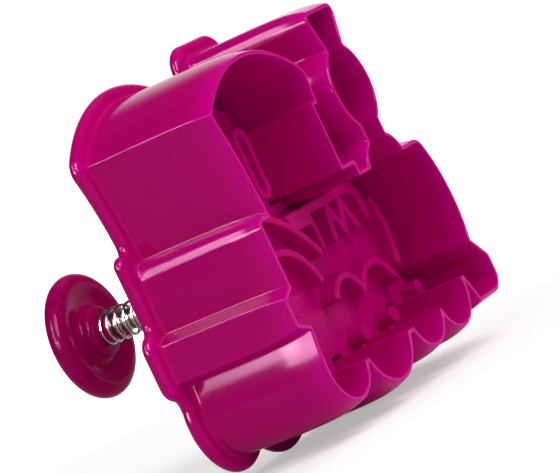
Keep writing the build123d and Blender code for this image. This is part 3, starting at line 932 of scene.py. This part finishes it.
def build_shell(sizes):
    """Mesh of the moulded shell: cutting wall, flange, back plate, guide boss and spring seat."""
    moulding = Moulding()
    cavity_corners = locomotive(inner_wheel_stops(), shell_cab_stops())
    wall_corners = locomotive(wheel_stops(), shell_cab_stops())
    cavity = moulding.skin_rows(cavity_corners, inner_rows(sizes))
    wall = moulding.skin_rows(wall_corners, outer_rows(sizes), partial(wall_spread, sizes))
    moulding.close(wall[0], cavity[-1])

    bend = sizes.flange_round
    flange_front = SHELL_DEPTH - sizes.flange_thickness
    back_bend = sizes.flange_thickness - bend
    steps = 2 * BEND_STEPS
    rows = [(-bend + run, flange_front + rise, RIM_WEAR_AND_SHEEN) for rise, run in quarter(bend, steps)]
    for rise, run in quarter(1.0, steps)[1:]:
        depth = SHELL_DEPTH - back_bend + back_bend * run
        rows.append((-sizes.flange_roll * rise, depth, RIM_WEAR_AND_SHEEN))
    rim_corners = flange_outline(wall_corners, GROUND)
    rim = moulding.skin_rows(rim_corners, rows, partial(flange_spread, sizes))
    moulding.close(rim[0], wall[-1])

    boss, bore = sizes.guide_radius, sizes.guide_bore
    seat_inside, seat_outside = sizes.seat_bore, sizes.seat_radius
    seat_top = SHELL_DEPTH + SPRING_SEAT_HEIGHT
    centre = moulding.turned(
        softened(
            (boss, BACK_PLATE_DEPTH, 0),
            (boss, GUIDE_FRONT_DEPTH, GUIDE_EDGE),
            (bore, GUIDE_FRONT_DEPTH, BORE_EDGE),
            (bore, SHELL_DEPTH, BORE_EDGE),
            (seat_inside, SHELL_DEPTH, SEAT_ROOT),
            (seat_inside, seat_top, SEAT_INNER_EDGE),
            (seat_outside, seat_top, SEAT_OUTER_EDGE),
            (seat_outside, SHELL_DEPTH, 0),
        )
    )
    moulding.close(cavity[0], centre[0])
    moulding.close(rim[-1], centre[-1])
    return moulding


def capped_rib(outer, inner):
    """Corners of a rib with square ends from its two long sides, each a list of points and runs."""
    stops = []
    for side in (outer, inner):
        for index, (point, run) in enumerate(side):
            stops.append((point, 0 if 0 < index < len(side) - 1 else RIB_END_BEND, run))
    return chain(*stops)


def arc_rib(*arcs, width):
    """Corners of a curved rib along arcs that run on smoothly, each a centre, a radius, a start and
    an end angle."""
    outer, inner = [], []
    half = width / 2
    for centre, radius, start, end in arcs:
        middle = Vector(centre)
        outer.append((polar(centre, radius + half, start), Arc(middle, radius + half, 1)))
        inner.insert(0, (polar(centre, radius - half, end), Arc(middle, radius - half, -1)))
    centre, radius, start, end = arcs[-1]
    outer.append((polar(centre, radius + half, end), None))
    centre, radius, start, end = arcs[0]
    inner.append((polar(centre, radius - half, start), None))
    return capped_rib(outer, inner)


def polar(centre, radius, angle):
    """Point on a circle at an angle in degrees."""
    turn = math.radians(angle)
    return (centre[0] + radius * math.cos(turn), centre[1] + radius * math.sin(turn))


def path_rib(*points, width):
    """Corners of a straight or zigzag rib with round ends."""
    half = width / 2
    stops = []
    for way in (list(points), list(reversed(points))):
        runs = [grown(line(start, end), half) for start, end in zip(way, way[1:])]
        for index, run in enumerate(runs):
            if index == 0:
                stops.append((nearest(run, Vector(way[0])), 0, run))
                continue
            outwards = runs[index - 1].along.cross(run.along) > 0
            stops.append((Vector(way[index]), half if outwards else RIB_END_BEND, run))
        end = Vector(way[-1])
        stops.append((nearest(runs[-1], end), 0, Arc(end, half, 1)))
    return [Corner(Vector(point), bend, run) for point, bend, run in stops]


def stadium(station, height, wide, tall):
    """Corners of an upright shape with half-round ends."""
    radius = wide / 2
    low, high = height - tall / 2 + radius, height + tall / 2 - radius
    left, right = station - radius, station + radius
    return [
        Corner(Vector((right, low)), 0, Line(Vector((right, low)), Vector((0, 1)))),
        Corner(Vector((right, high)), 0, Arc(Vector((station, high)), radius, 1)),
        Corner(Vector((left, high)), 0, Line(Vector((left, high)), Vector((0, -1)))),
        Corner(Vector((left, low)), 0, Arc(Vector((station, low)), radius, 1)),
    ]


def firebox_rib(top, width):
    """Corners of the raised firebox corner, its post and the boiler band that bends down."""
    centre, radius = OUTER_GUARD_CENTRE, OUTER_GUARD_RADIUS
    rear, front, floor = FIREBOX_REAR, FIREBOX_FRONT, FIREBOX_BOTTOM
    post = front + POST_WIDTH
    under = top - width
    hub = (BAND_END[0] - BAND_BEND, top - width / 2 - BAND_BEND)
    middle = Vector(hub)
    wide, tight = BAND_BEND + width / 2, BAND_BEND - width / 2
    rear_foot = (rear, centre[1] + math.sqrt(radius**2 - (rear - centre[0]) ** 2))
    front_foot = (centre[0] + math.sqrt(radius**2 - (floor - centre[1]) ** 2), floor)
    end_outer = (BAND_END[0] + width / 2, BAND_END[1])
    end_inner = (BAND_END[0] - width / 2, BAND_END[1])
    return chain(
        ((rear, top), RIB_END_BEND, None),
        (rear_foot, RIB_END_BEND, Arc(Vector(centre), radius, -1)),
        (front_foot, RIB_END_BEND, None),
        ((front, floor), RIB_END_BEND, None),
        ((front, POST_FOOT), RIB_END_BEND, None),
        ((post, POST_FOOT), RIB_END_BEND, None),
        ((post, under), RIB_END_BEND, None),
        ((hub[0], under), 0, Arc(middle, tight, -1)),
        ((hub[0] + tight, hub[1]), 0, None),
        (end_inner, 0, Arc(Vector(BAND_END), width / 2, 1)),
        (end_outer, 0, None),
        ((hub[0] + wide, hub[1]), 0, Arc(middle, wide, 1)),
        ((hub[0], top), 0, None),
    )


def pointed_arch(width):
    """Corners of the arched rib over the front wheel, which is drawn out to a point."""
    centre, radius = SECOND_ARCH[:2]
    start, end = SECOND_ARCH[2:]
    half = width / 2
    outer = Arc(Vector(centre), radius + half, 1)
    inner = Arc(Vector(centre), radius - half, -1)
    return chain(
        (polar(centre, radius + half, start), RIB_END_BEND, outer),
        (polar(centre, radius + half, end), RIB_END_BEND, None),
        (polar(centre, radius - half, end), RIB_END_BEND, inner),
        (polar(centre, radius - half, start), RIB_END_BEND, None),
        (SECOND_ARCH_TIP, RIB_END_BEND, None),
    )


def relief_outlines(width):
    """Corners of the relief's ribs."""
    outer_start, turn = OUTER_GUARD_ANGLES
    tail_centre = polar(OUTER_GUARD_CENTRE, OUTER_GUARD_RADIUS - OUTER_TAIL_RADIUS, turn)
    low, high = SMOKEBOX_RIB_HEIGHTS
    bow_centre = (SMOKEBOX_RIB_STATION - SMOKEBOX_RIB_RADIUS, (low + high) / 2)
    bow = SMOKEBOX_RIB_RADIUS - width / 2
    swing = math.degrees(math.asin((high - low) / 2 / bow))
    top = BOILER_TOP - RELIEF_INSET
    return [
        arc_rib(INNER_GUARD, width=width),
        arc_rib(
            (OUTER_GUARD_CENTRE, OUTER_GUARD_RADIUS, outer_start, turn),
            (tail_centre, OUTER_TAIL_RADIUS, turn, OUTER_TAIL_END),
            width=width,
        ),
        firebox_rib(top, BAND_WIDTH),
        path_rib(*ZIGZAG, width=width),
        arc_rib((bow_centre, bow, -swing, swing), width=width),
        arc_rib(FIRST_ARCH, width=width),
        pointed_arch(width),
    ]


def peg(station, height, radius):
    """Corners of a round peg, with a short straight between its half rounds."""
    return stadium(station, height, 2 * radius, 2 * radius + PEG_STRAIGHT)


def rib_rows(sizes, height):
    """Growth, depth and wear of the side of a rib of a height, from its foot up to its top; the
    wear on its top edge also paints a highlight.
    """
    foot, draft = sizes.relief_root, sizes.relief_draft
    bend = min(sizes.relief_round, height / 2)
    top = STAMP_FACE_DEPTH - height
    rows = [(draft + foot, STAMP_FACE_DEPTH + foot, 0.0)]
    rows += [(draft + foot - run, STAMP_FACE_DEPTH - rise, 0.0) for rise, run in quarter(foot)]
    rows += [(-rise, top + bend - run, RIB_WEAR_AND_SHEEN) for rise, run in quarter(bend)]
    return rows


def raise_rib(moulding, sizes, corners, height, band=None):
    """Add a rib of a height to the stamp. With a band it is a ring of that width."""
    counts = step_counts(corners, spacing=RIB_SPACING)
    outer, inner = [], []
    for growth, depth, wear_and_sheen in rib_rows(sizes, height):
        points = outline(corners, growth, counts)
        outer.append(moulding.loop(points, depth, [wear_and_sheen] * len(points)))
        if band:
            points = outline(corners, -band - growth, counts)
            inner.append(moulding.loop(points, depth, [wear_and_sheen] * len(points)))
    moulding.skin(outer)
    if band:
        moulding.skin(inner)
        moulding.skin([outer[-1], inner[-1]])
        moulding.skin([outer[0], inner[0]])
    else:
        moulding.close(outer[-1])
        moulding.close(outer[0])


def build_stamp(sizes):
    """Mesh of the stamp: plate, relief and hub."""
    moulding = Moulding()
    inset, bend, hub = sizes.inset, sizes.edge_round, sizes.hub_radius
    corners = locomotive(inner_wheel_stops(), stamp_cab_stops(inset))
    rows = [(-inset - bend + run, STAMP_FACE_DEPTH + rise, 0.0) for rise, run in quarter(bend)]
    rows += [(-inset - rise, STAMP_BACK_DEPTH - bend + run, 0.0) for rise, run in quarter(bend)]
    plate = moulding.skin_rows(corners, rows)
    rod = ROD_HIGH.x / MM
    centre = moulding.turned(
        softened(
            (hub, STAMP_BACK_DEPTH, 0),
            (hub, HUB_BACK_DEPTH, HUB_EDGE),
            (rod, HUB_BACK_DEPTH, HUB_BORE_EDGE),
            (rod, ROD_FRONT_DEPTH, 0),
            (0, ROD_FRONT_DEPTH, 0),
        )
    )
    moulding.close(plate[0])
    moulding.close(plate[-1], centre[0])
    high = sizes.relief_height
    for index, rib in enumerate(relief_outlines(sizes.rib_width)):
        raise_rib(moulding, sizes, rib, high + RIB_STEP * index)
    for station in PEG_STATIONS:
        raise_rib(moulding, sizes, peg(station, PEG_HEIGHT, PEG_RADIUS), high)
    raise_rib(moulding, sizes, stadium(*BUFFER_PEG), high)
    raise_rib(moulding, sizes, peg(*BUTTON), sizes.button_height)
    for station in WINDOW_STATIONS:
        raise_rib(moulding, sizes, stadium(station, *WINDOW), high, WINDOW_BAND)
    return moulding


def build_rod(sizes):
    """Mesh of the steel rod with its rounded ends."""
    moulding = Moulding()
    radius = sizes.rod_radius
    moulding.turned(
        softened(
            (0, ROD_FRONT_DEPTH, 0),
            (radius, ROD_FRONT_DEPTH, ROD_EDGE),
            (radius, ROD_BACK_DEPTH, ROD_EDGE),
            (0, ROD_BACK_DEPTH, 0),
        ),
        ROD_STEPS,
    )
    return moulding


def build_knob(sizes):
    """Mesh of the knob: domed crown, round rim, dished underside, boss and spigot."""
    moulding = Moulding()
    bend, boss, rod = sizes.rim_round, sizes.boss_radius, sizes.rod_radius
    rim = sizes.knob_radius - bend
    plane = KNOB_PLANE_DEPTH
    floor = plane - sizes.dish_floor
    spigot_end = KNOB_BOSS_DEPTH - sizes.spigot_length
    dome = (rim**2 + sizes.crown**2 - bend**2) / (2 * (sizes.crown - bend))
    lean = math.asin(rim / (dome - bend))
    profile = softened(
        (0, ROD_BACK_DEPTH, 0),
        (rod, ROD_BACK_DEPTH, 0),
        (rod, spigot_end, KNOB_BORE_EDGE),
        (sizes.spigot_radius, spigot_end, SPIGOT_EDGE),
        (sizes.spigot_radius, KNOB_BOSS_DEPTH, SPIGOT_EDGE),
        (boss, KNOB_BOSS_DEPTH, sizes.boss_edge),
        (boss, floor, BOSS_FOOT),
        (sizes.dish_radius, floor, 0),
    )
    slope, fall = rim - sizes.dish_radius, bend - sizes.dish_floor
    for step in range(1, KNOB_STEPS):
        share = step / KNOB_STEPS
        ease = (1 - math.cos(math.pi * share)) / 2
        profile.append(Vector((sizes.dish_radius + slope * share, floor - fall * ease)))
    sweep = math.pi - lean
    for step in range(2 * KNOB_STEPS + 1):
        angle = sweep * step / (2 * KNOB_STEPS)
        profile.append(Vector((rim + bend * math.sin(angle), plane - bend * math.cos(angle))))
    for step in range(KNOB_STEPS - 1, -1, -1):
        angle = lean * step / KNOB_STEPS
        height = plane + sizes.crown - dome * (1 - math.cos(angle))
        profile.append(Vector((dome * math.sin(angle), height)))
    moulding.turned(profile)
    return moulding


def build_spring(sizes):
    """Mesh of the coiled spring, whose end turns lie closer together."""
    moulding = Moulding()
    wire = sizes.wire / 2
    start = SHELL_DEPTH + SPRING_GAP + wire
    rise = KNOB_BOSS_DEPTH - SPRING_GAP - wire - start
    pitch = (rise - 2 * sizes.end_pitch) / sizes.turns
    steps = (sizes.turns + 2) * TURN_STEPS
    loops = []
    depth = start
    for step in range(steps + 1):
        turn = step / TURN_STEPS
        open_share = min(1.0, max(0.0, min(turn, sizes.turns + 2 - turn) - 0.5))
        slope = sizes.end_pitch + (pitch - sizes.end_pitch) * open_share
        if step:
            depth += slope / TURN_STEPS
        angle = math.tau * turn
        coil = sizes.coil_radius
        outwards = Vector((math.cos(angle), 0, math.sin(angle)))
        along = Vector((-math.sin(angle) * coil, slope / math.tau, math.cos(angle) * coil))
        across = along.normalized().cross(outwards)
        centre = Vector((0, MOUTH_Y / MM + depth, AXIS_Z / MM)) + outwards * coil
        ring = []
        for point in circle(wire, WIRE_SIDES):
            vertex = moulding.mesh.verts.new(centre + outwards * point.x + across * point.y)
            vertex[moulding.wear_and_sheen] = max(0.0, point.x / wire)
            ring.append(vertex)
        loops.append(ring)
    moulding.skin(loops)
    moulding.mesh.faces.new(loops[0])
    moulding.mesh.faces.new(loops[-1])
    return moulding


def sum_of(operation, swapped=False):
    """Method that puts a node between a value and another."""

    def method(self, other):
        operands = (other, self) if swapped else (self, other)
        return self.reckon(operation, *operands)

    return method


class Value:
    """A shader socket that takes part in sums like a number."""

    def __init__(self, shading, socket):
        self.shading = shading
        self.socket = socket

    def reckon(self, operation, *operands):
        """Value of a sum, made with one node."""
        values = dict(enumerate(operands))
        return self.shading.add("ShaderNodeMath", {"operation": operation}, values)

    __add__, __radd__ = sum_of("ADD"), sum_of("ADD", True)
    __sub__, __rsub__ = sum_of("SUBTRACT"), sum_of("SUBTRACT", True)
    __mul__, __rmul__ = sum_of("MULTIPLY"), sum_of("MULTIPLY", True)
    at_least = sum_of("MAXIMUM")

    def step_up(self, low, high):
        """0 below one value, 1 above the other and a smooth rise between them."""
        values = {"Value": self, "From Min": low, "From Max": high}
        return self.shading.add("ShaderNodeMapRange", {"interpolation_type": "SMOOTHSTEP"}, values)


class Shading:
    """Node tree of a material or of the world."""

    def __init__(self, owner):
        owner.use_nodes = True
        self.tree = owner.node_tree
        self.tree.nodes.clear()

    def add(self, kind, settings=None, values=None, output=0):
        """Add a node: first its settings, then the values or links of its sockets."""
        node = self.tree.nodes.new(kind)
        for name, value in (settings or {}).items():
            setattr(node, name, value)
        for name, value in (values or {}).items():
            if isinstance(value, Value):
                self.tree.links.new(value.socket, node.inputs[name])
            else:
                node.inputs[name].default_value = value
        return Value(self, node.outputs[output]) if node.outputs else node

    def noise(self, place, scale, detail=2.0, roughness=0.5):
        """Noise between 0 and 1."""
        values = {"Vector": place, "Scale": scale, "Detail": detail, "Roughness": roughness}
        return self.add("ShaderNodeTexNoise", {}, values, "Fac")

    def blend(self, share, first, second):
        """Colour between two colours."""
        return self.add("ShaderNodeMix", {"data_type": "RGBA"}, {0: share, 6: first, 7: second}, 2)

    def bump(self, height, strength, millimetres):
        """Normal of a bumpy surface."""
        values = {"Strength": strength, "Distance": millimetres * MM, "Height": height}
        return self.add("ShaderNodeBump", {}, values)

    def light_path(self, kind):
        """1 for one kind of ray, 0 for the others."""
        return self.add("ShaderNodeLightPath", {}, {}, kind)

    def stretched(self, place, *scales):
        """Coordinates scaled along each axis."""
        return self.add("ShaderNodeVectorMath", {"operation": "MULTIPLY"}, {0: place, 1: scales})


def tint(colour, share=1.0, lift=0.0):
    """Colour with its strength scaled and white added, as a shader takes it."""
    return tuple(part * share + lift for part in colour) + (1.0,)


def started_material(name):
    """New material with its node tree, its coordinates and the wear of its piece, a mark that on
    plastic also paints a highlight on edges.
    """
    material = bpy.data.materials.new(name)
    shading = Shading(material)
    place_in_part = shading.add("ShaderNodeTexCoord", {}, {}, "Object")
    wear_and_sheen = shading.add("ShaderNodeAttribute", {"attribute_name": "wear_and_sheen"}, {}, "Fac")
    return material, shading, place_in_part, wear_and_sheen


def moulded_plastic(name, colour, roughness=PLASTIC_ROUGHNESS, gloss=PLASTIC_GLOSS):
    """Glossy moulded plastic with flow streaks and fine specks, paler near the mouth as a painted
    glow of light through the thin wall, and paler on edges partly from wear and partly as a painted
    highlight.
    """
    material, shading, place_in_part, wear_and_sheen = started_material(name)
    across = shading.add("ShaderNodeSeparateXYZ", {}, {0: place_in_part}, "Y")
    # Edge mark: partly real wear, partly a painted highlight on edges
    edge = wear_and_sheen.at_least(0.0)
    # Painted glow of light through the thin wall near the cutting edge
    painted_thin_glow = 1 - across.step_up(MOUTH_Y, MOUTH_Y + PAINTED_GLOW_REACH * MM)
    clouds = shading.noise(place_in_part, CLOUD_SCALE, 3.0)
    grain = shading.noise(place_in_part, GRAIN_SCALE, 3.0, 0.6)
    streaks = shading.noise(shading.stretched(place_in_part, *STREAK_SCALES), 1.0, 3.0)
    specks = shading.noise(place_in_part, SPECK_SCALE, 1.0).step_up(0.74, 0.82)
    body = shading.blend(clouds, tint(colour, 0.92), tint(colour, 1.08))
    red, green, blue = colour
    # Paler colour mixes in the painted glow near the mouth and the wear with painted highlight on
    # edges
    paler = shading.blend(0.5 * painted_thin_glow + 0.4 * edge, body, (1.3 * red, green, 1.9 * blue, 1.0))
    specked = shading.blend(specks * (0.08 + 0.4 * edge), paler, tint(colour, 1.2, 0.12))
    surface = roughness + 0.04 * clouds + 0.05 * streaks + 0.1 * edge * grain
    height = 0.4 * grain + 0.6 * streaks
    bump = shading.bump(height, 0.1, 0.02)
    shader = shading.add(
        "ShaderNodeBsdfPrincipled",
        {},
        {
            "Base Color": specked,
            "Roughness": surface,
            "Normal": bump,
            "IOR": 1.45,
            "Specular IOR Level": gloss,
            "Specular Tint": tint(GLOSS_TINT),
        },
    )
    shading.add("ShaderNodeOutputMaterial", {}, {"Surface": shader})
    return material


def drawn_steel(name, colour, roughness, along):
    """Bright drawn steel with fine lines along it and faint dull patches."""
    material, shading, place_in_part, wear_and_sheen = started_material(name)
    lines = shading.noise(shading.stretched(place_in_part, *along), 1.0, 3.0, 0.6)
    patches = shading.noise(place_in_part, PATCH_SCALE, 4.0)
    dull = patches.step_up(0.55, 0.75)
    body = shading.blend(lines, tint(colour, 0.85), tint(colour, 1.05))
    stained = shading.blend(dull * 0.35, body, tint(colour, 0.6))
    surface = roughness + 0.1 * dull + 0.06 * lines - 0.05 * wear_and_sheen
    bump = shading.bump(lines, 0.15, 0.01)
    shader = shading.add(
        "ShaderNodeBsdfPrincipled",
        {},
        {"Base Color": stained, "Metallic": 1.0, "Roughness": surface, "Normal": bump},
    )
    shading.add("ShaderNodeOutputMaterial", {}, {"Surface": shader})
    return material


class CUTTER_OT_shell(bpy.types.Operator):
    """Build the moulded shell with its cutting wall and rolled flange"""

    bl_idname = "cutter.shell"
    bl_label = "Shell"

    def execute(self, context):
        material = moulded_plastic("Cutter plastic", context.scene.cutter_finishes.shell)
        moulding = build_shell(in_millimetres(context.scene.cutter_shell_sizes))
        moulding.finish("moulded_shell", material, "cutter", "cutter_shell", "moulded_shell")
        return {"FINISHED"}


class CUTTER_OT_stamp(bpy.types.Operator):
    """Build the embossing stamp with its relief"""

    bl_idname = "cutter.stamp"
    bl_label = "Stamp"

    def execute(self, context):
        stamp = context.scene.cutter_finishes.stamp
        material = moulded_plastic("Stamp plastic", stamp, STAMP_ROUGHNESS, STAMP_GLOSS)
        moulding = build_stamp(in_millimetres(context.scene.cutter_stamp_sizes))
        moulding.finish("embossing_stamp", material, "plunger", "stamp_plate", "moulded_stamp")
        return {"FINISHED"}


class CUTTER_OT_rod(bpy.types.Operator):
    """Build the steel rod"""

    bl_idname = "cutter.rod"
    bl_label = "Rod"

    def execute(self, context):
        rod = context.scene.cutter_finishes.rod
        material = drawn_steel("Rod steel", rod, ROD_ROUGHNESS, ROD_LINES)
        moulding = build_rod(in_millimetres(context.scene.cutter_plunger_sizes))
        moulding.finish("steel_rod", material, "plunger", "plunger_rod", "rod_steel")
        return {"FINISHED"}


class CUTTER_OT_knob(bpy.types.Operator):
    """Build the push knob"""

    bl_idname = "cutter.knob"
    bl_label = "Knob"

    def execute(self, context):
        knob = context.scene.cutter_finishes.knob
        material = moulded_plastic("Knob plastic", knob, KNOB_ROUGHNESS, KNOB_GLOSS)
        moulding = build_knob(in_millimetres(context.scene.cutter_plunger_sizes))
        moulding.finish("push_knob", material, "plunger", "knob", "moulded_knob")
        return {"FINISHED"}


class CUTTER_OT_spring(bpy.types.Operator):
    """Build the return spring at rest; the real spring shortens as the knob is pushed"""

    bl_idname = "cutter.spring"
    bl_label = "Spring"

    def execute(self, context):
        wire = context.scene.cutter_finishes.spring
        material = drawn_steel("Spring steel", wire, WIRE_ROUGHNESS, WIRE_LINES)
        moulding = build_spring(in_millimetres(context.scene.cutter_plunger_sizes))
        spring = moulding.finish("coil_spring", material, "cutter", "return_spring", "spring_steel")
        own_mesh(spring)
        return {"FINISHED"}


class StudioSettings(bpy.types.PropertyGroup):
    """Camera and light."""

    target: place_setting(
        "Target", "Point that the camera is placed by", -11.52, MOUTH_Y / MM, 33.38
    )
    offset: place_setting(
        "Offset", "How far right of, above and before the camera it lies", 8.495, 2.776, 630.0
    )
    heading: angle_setting("Heading", "Direction of view, from the part's front", 29.34567)
    tilt: angle_setting("Tilt", "How far the view looks up", -3.05179)
    roll: angle_setting("Roll", "How far the camera leans to its right", 25.31446)
    lens: bpy.props.FloatProperty(
        name="Focal length",
        description="Focal length of the camera",
        default=241.2,
        min=1.0,
        unit="CAMERA",
    )
    floor_size: length("Floor size", "Side of the square floor", 8000.0)
    surround: plain_number("Surround", "Strength of the even light from all sides", 0.25)
    studio_gloom: plain_number("Studio", "Brightness of the studio beside the backdrop", 0.04)


def camera_frame(settings):
    """Right, up and forward directions of the camera."""
    forward = Vector(
        (
            math.cos(settings.tilt) * math.cos(settings.heading),
            math.cos(settings.tilt) * math.sin(settings.heading),
            math.sin(settings.tilt),
        )
    )
    level_right = forward.cross(Vector((0, 0, 1))).normalized()
    level_up = level_right.cross(forward)
    up = level_up * math.cos(settings.roll) + level_right * math.sin(settings.roll)
    return forward.cross(up), up, forward


def add_camera(settings):
    """Camera at the given view."""
    right, up, forward = camera_frame(settings)
    across, above, ahead = settings.offset
    spot = Vector(settings.target) - right * across - up * above - forward * ahead
    data = bpy.data.cameras.new("Camera")
    data.lens = settings.lens
    data.clip_start = 0.01
    camera = bpy.data.objects.new("Camera", data)
    turn = Matrix((right, up, -forward)).transposed().to_4x4()
    camera.matrix_world = Matrix.Translation(spot) @ turn
    bpy.context.scene.collection.objects.link(camera)
    bpy.context.scene.camera = camera


def add_softbox(name, direction, distance, wide, tall, power, lights):
    """Rectangular lamp that shines at the middle of the part from a direction, its tall side turned
    across the part's depth. It lights only the gloss of surfaces or only their colour."""
    data = bpy.data.lights.new(name, "AREA")
    data.shape = "RECTANGLE"
    data.size = wide
    data.size_y = tall
    data.energy = power
    lamp = bpy.data.objects.new(name, data)
    middle = Vector((0, 0, AXIS_Z))
    away = Vector(direction).normalized()
    lamp.location = middle + away * distance
    depthwise = (Vector((0, 1, 0)) - away * away.y).normalized()
    turn = Matrix((depthwise.cross(away), depthwise, away)).transposed()
    lamp.rotation_euler = turn.to_euler()
    lamp.visible_diffuse = lights != "gloss"
    lamp.visible_glossy = lights != "colour"
    bpy.context.scene.collection.objects.link(lamp)


def light_the_world(settings):
    """White surround for the camera, even light on matt surfaces, and for gloss a white backdrop
    behind the part in a dim studio."""
    world = bpy.data.worlds.new("Surround")
    bpy.context.scene.world = world
    shading = Shading(world)
    camera = shading.light_path("Is Camera Ray")
    seen_through = shading.light_path("Is Transmission Ray")
    mirrored = shading.light_path("Is Glossy Ray").at_least(seen_through)
    direction = shading.add("ShaderNodeTexCoord", {}, {}, "Generated")
    values = {0: direction, 1: camera_frame(settings)[2]}
    facing = shading.add("ShaderNodeVectorMath", {"operation": "DOT_PRODUCT"}, values, 1)
    backdrop = facing.step_up(*BACKDROP_EDGE)
    studio = settings.studio_gloom + (1 - settings.studio_gloom) * backdrop
    seen = studio * mirrored + settings.surround * (1 - mirrored)
    strength = camera.at_least(seen * (1 - camera))
    values = {"Color": WHITE, "Strength": strength}
    background = shading.add("ShaderNodeBackground", {}, values)
    shading.add("ShaderNodeOutputWorld", {}, {"Surface": background})


def floor_material(colour):
    """White floor that keeps the part's shadow."""
    material = bpy.data.materials.new("Floor")
    shading = Shading(material)
    camera = shading.light_path("Is Camera Ray")
    place_on_floor = shading.add("ShaderNodeTexCoord", {}, {}, "Object")
    away = shading.add("ShaderNodeVectorMath", {"operation": "LENGTH"}, {0: place_on_floor}, 1)
    matt = shading.add("ShaderNodeBsdfDiffuse", {}, {"Color": tint(colour)})
    strength = FLOOR_GLOW + away.step_up(FLOOR_NEAR, FLOOR_FAR)
    glow = shading.add("ShaderNodeEmission", {}, {"Color": WHITE, "Strength": strength})
    seen = shading.add("ShaderNodeBsdfDiffuse", {}, {"Color": tint(colour, FLOOR_SEEN)})
    lifted = shading.add("ShaderNodeAddShader", {}, {0: seen, 1: glow})
    mixed = shading.add("ShaderNodeMixShader", {}, {0: camera, 1: matt, 2: lifted})
    shading.add("ShaderNodeOutputMaterial", {}, {"Surface": mixed})
    return material


def add_floor(colour, side):
    """Square floor under the part."""
    mesh = bmesh.new()
    reach = side / 2
    corners = [(-reach, -reach, 0), (reach, -reach, 0), (reach, reach, 0), (-reach, reach, 0)]
    mesh.faces.new([mesh.verts.new(corner) for corner in corners])
    data = bpy.data.meshes.new("Floor")
    mesh.to_mesh(data)
    mesh.free()
    data.materials.append(floor_material(colour))
    floor = bpy.data.objects.new("Floor", data)
    bpy.context.scene.collection.objects.link(floor)


class CUTTER_OT_stage(bpy.types.Operator):
    """Set the floor, the lamps, the surround and the camera"""

    bl_idname = "cutter.stage"
    bl_label = "Stage"

    def execute(self, context):
        scene = context.scene
        settings = scene.cutter_studio
        scene.view_settings.view_transform = "Standard"
        add_floor(scene.cutter_finishes.floor, settings.floor_size)
        light_the_world(settings)
        for lamp in LAMPS:
            add_softbox(*lamp)
        add_camera(settings)
        return {"FINISHED"}


class CUTTER_PT_panel(bpy.types.Panel):
    """Sizes, finishes and steps of the plunger cutter"""

    bl_idname = "CUTTER_PT_panel"
    bl_label = "Plunger Cutter"
    bl_space_type = "VIEW_3D"
    bl_region_type = "UI"
    bl_category = "Plunger Cutter"

    def draw(self, context):
        layout = self.layout
        for name in SETTINGS:
            settings = getattr(context.scene, name)
            box = layout.box()
            box.label(text=settings.bl_rna.description)
            for setting in settings.bl_rna.properties:
                if setting.identifier not in ("rna_type", "name"):
                    box.prop(settings, setting.identifier)
        for operator in OPERATORS:
            layout.operator(operator.bl_idname)


OPERATORS = (
    CUTTER_OT_shell,
    CUTTER_OT_stamp,
    CUTTER_OT_rod,
    CUTTER_OT_knob,
    CUTTER_OT_spring,
    CUTTER_OT_stage,
)
SETTINGS = {
    "cutter_shell_sizes": ShellSizes,
    "cutter_stamp_sizes": StampSizes,
    "cutter_plunger_sizes": PlungerSizes,
    "cutter_finishes": Finishes,
    "cutter_studio": StudioSettings,
}


def register():
    """Register the settings, the operators and the panel."""
    for name, group in SETTINGS.items():
        bpy.utils.register_class(group)
        setattr(bpy.types.Scene, name, bpy.props.PointerProperty(type=group))
    for cls in (*OPERATORS, CUTTER_PT_panel):
        bpy.utils.register_class(cls)


def unregister():
    """Take the panel, the operators and the settings away again."""
    for cls in reversed((*OPERATORS, CUTTER_PT_panel)):
        bpy.utils.unregister_class(cls)
    for name, group in SETTINGS.items():
        delattr(bpy.types.Scene, name)
        bpy.utils.unregister_class(group)


def main():
    """Build the pieces and the stage."""
    register()
    bpy.ops.cutter.shell()
    bpy.ops.cutter.stamp()
    bpy.ops.cutter.rod()
    bpy.ops.cutter.knob()
    bpy.ops.cutter.spring()
    bpy.ops.cutter.stage()


if __name__ == "__main__":
    main()
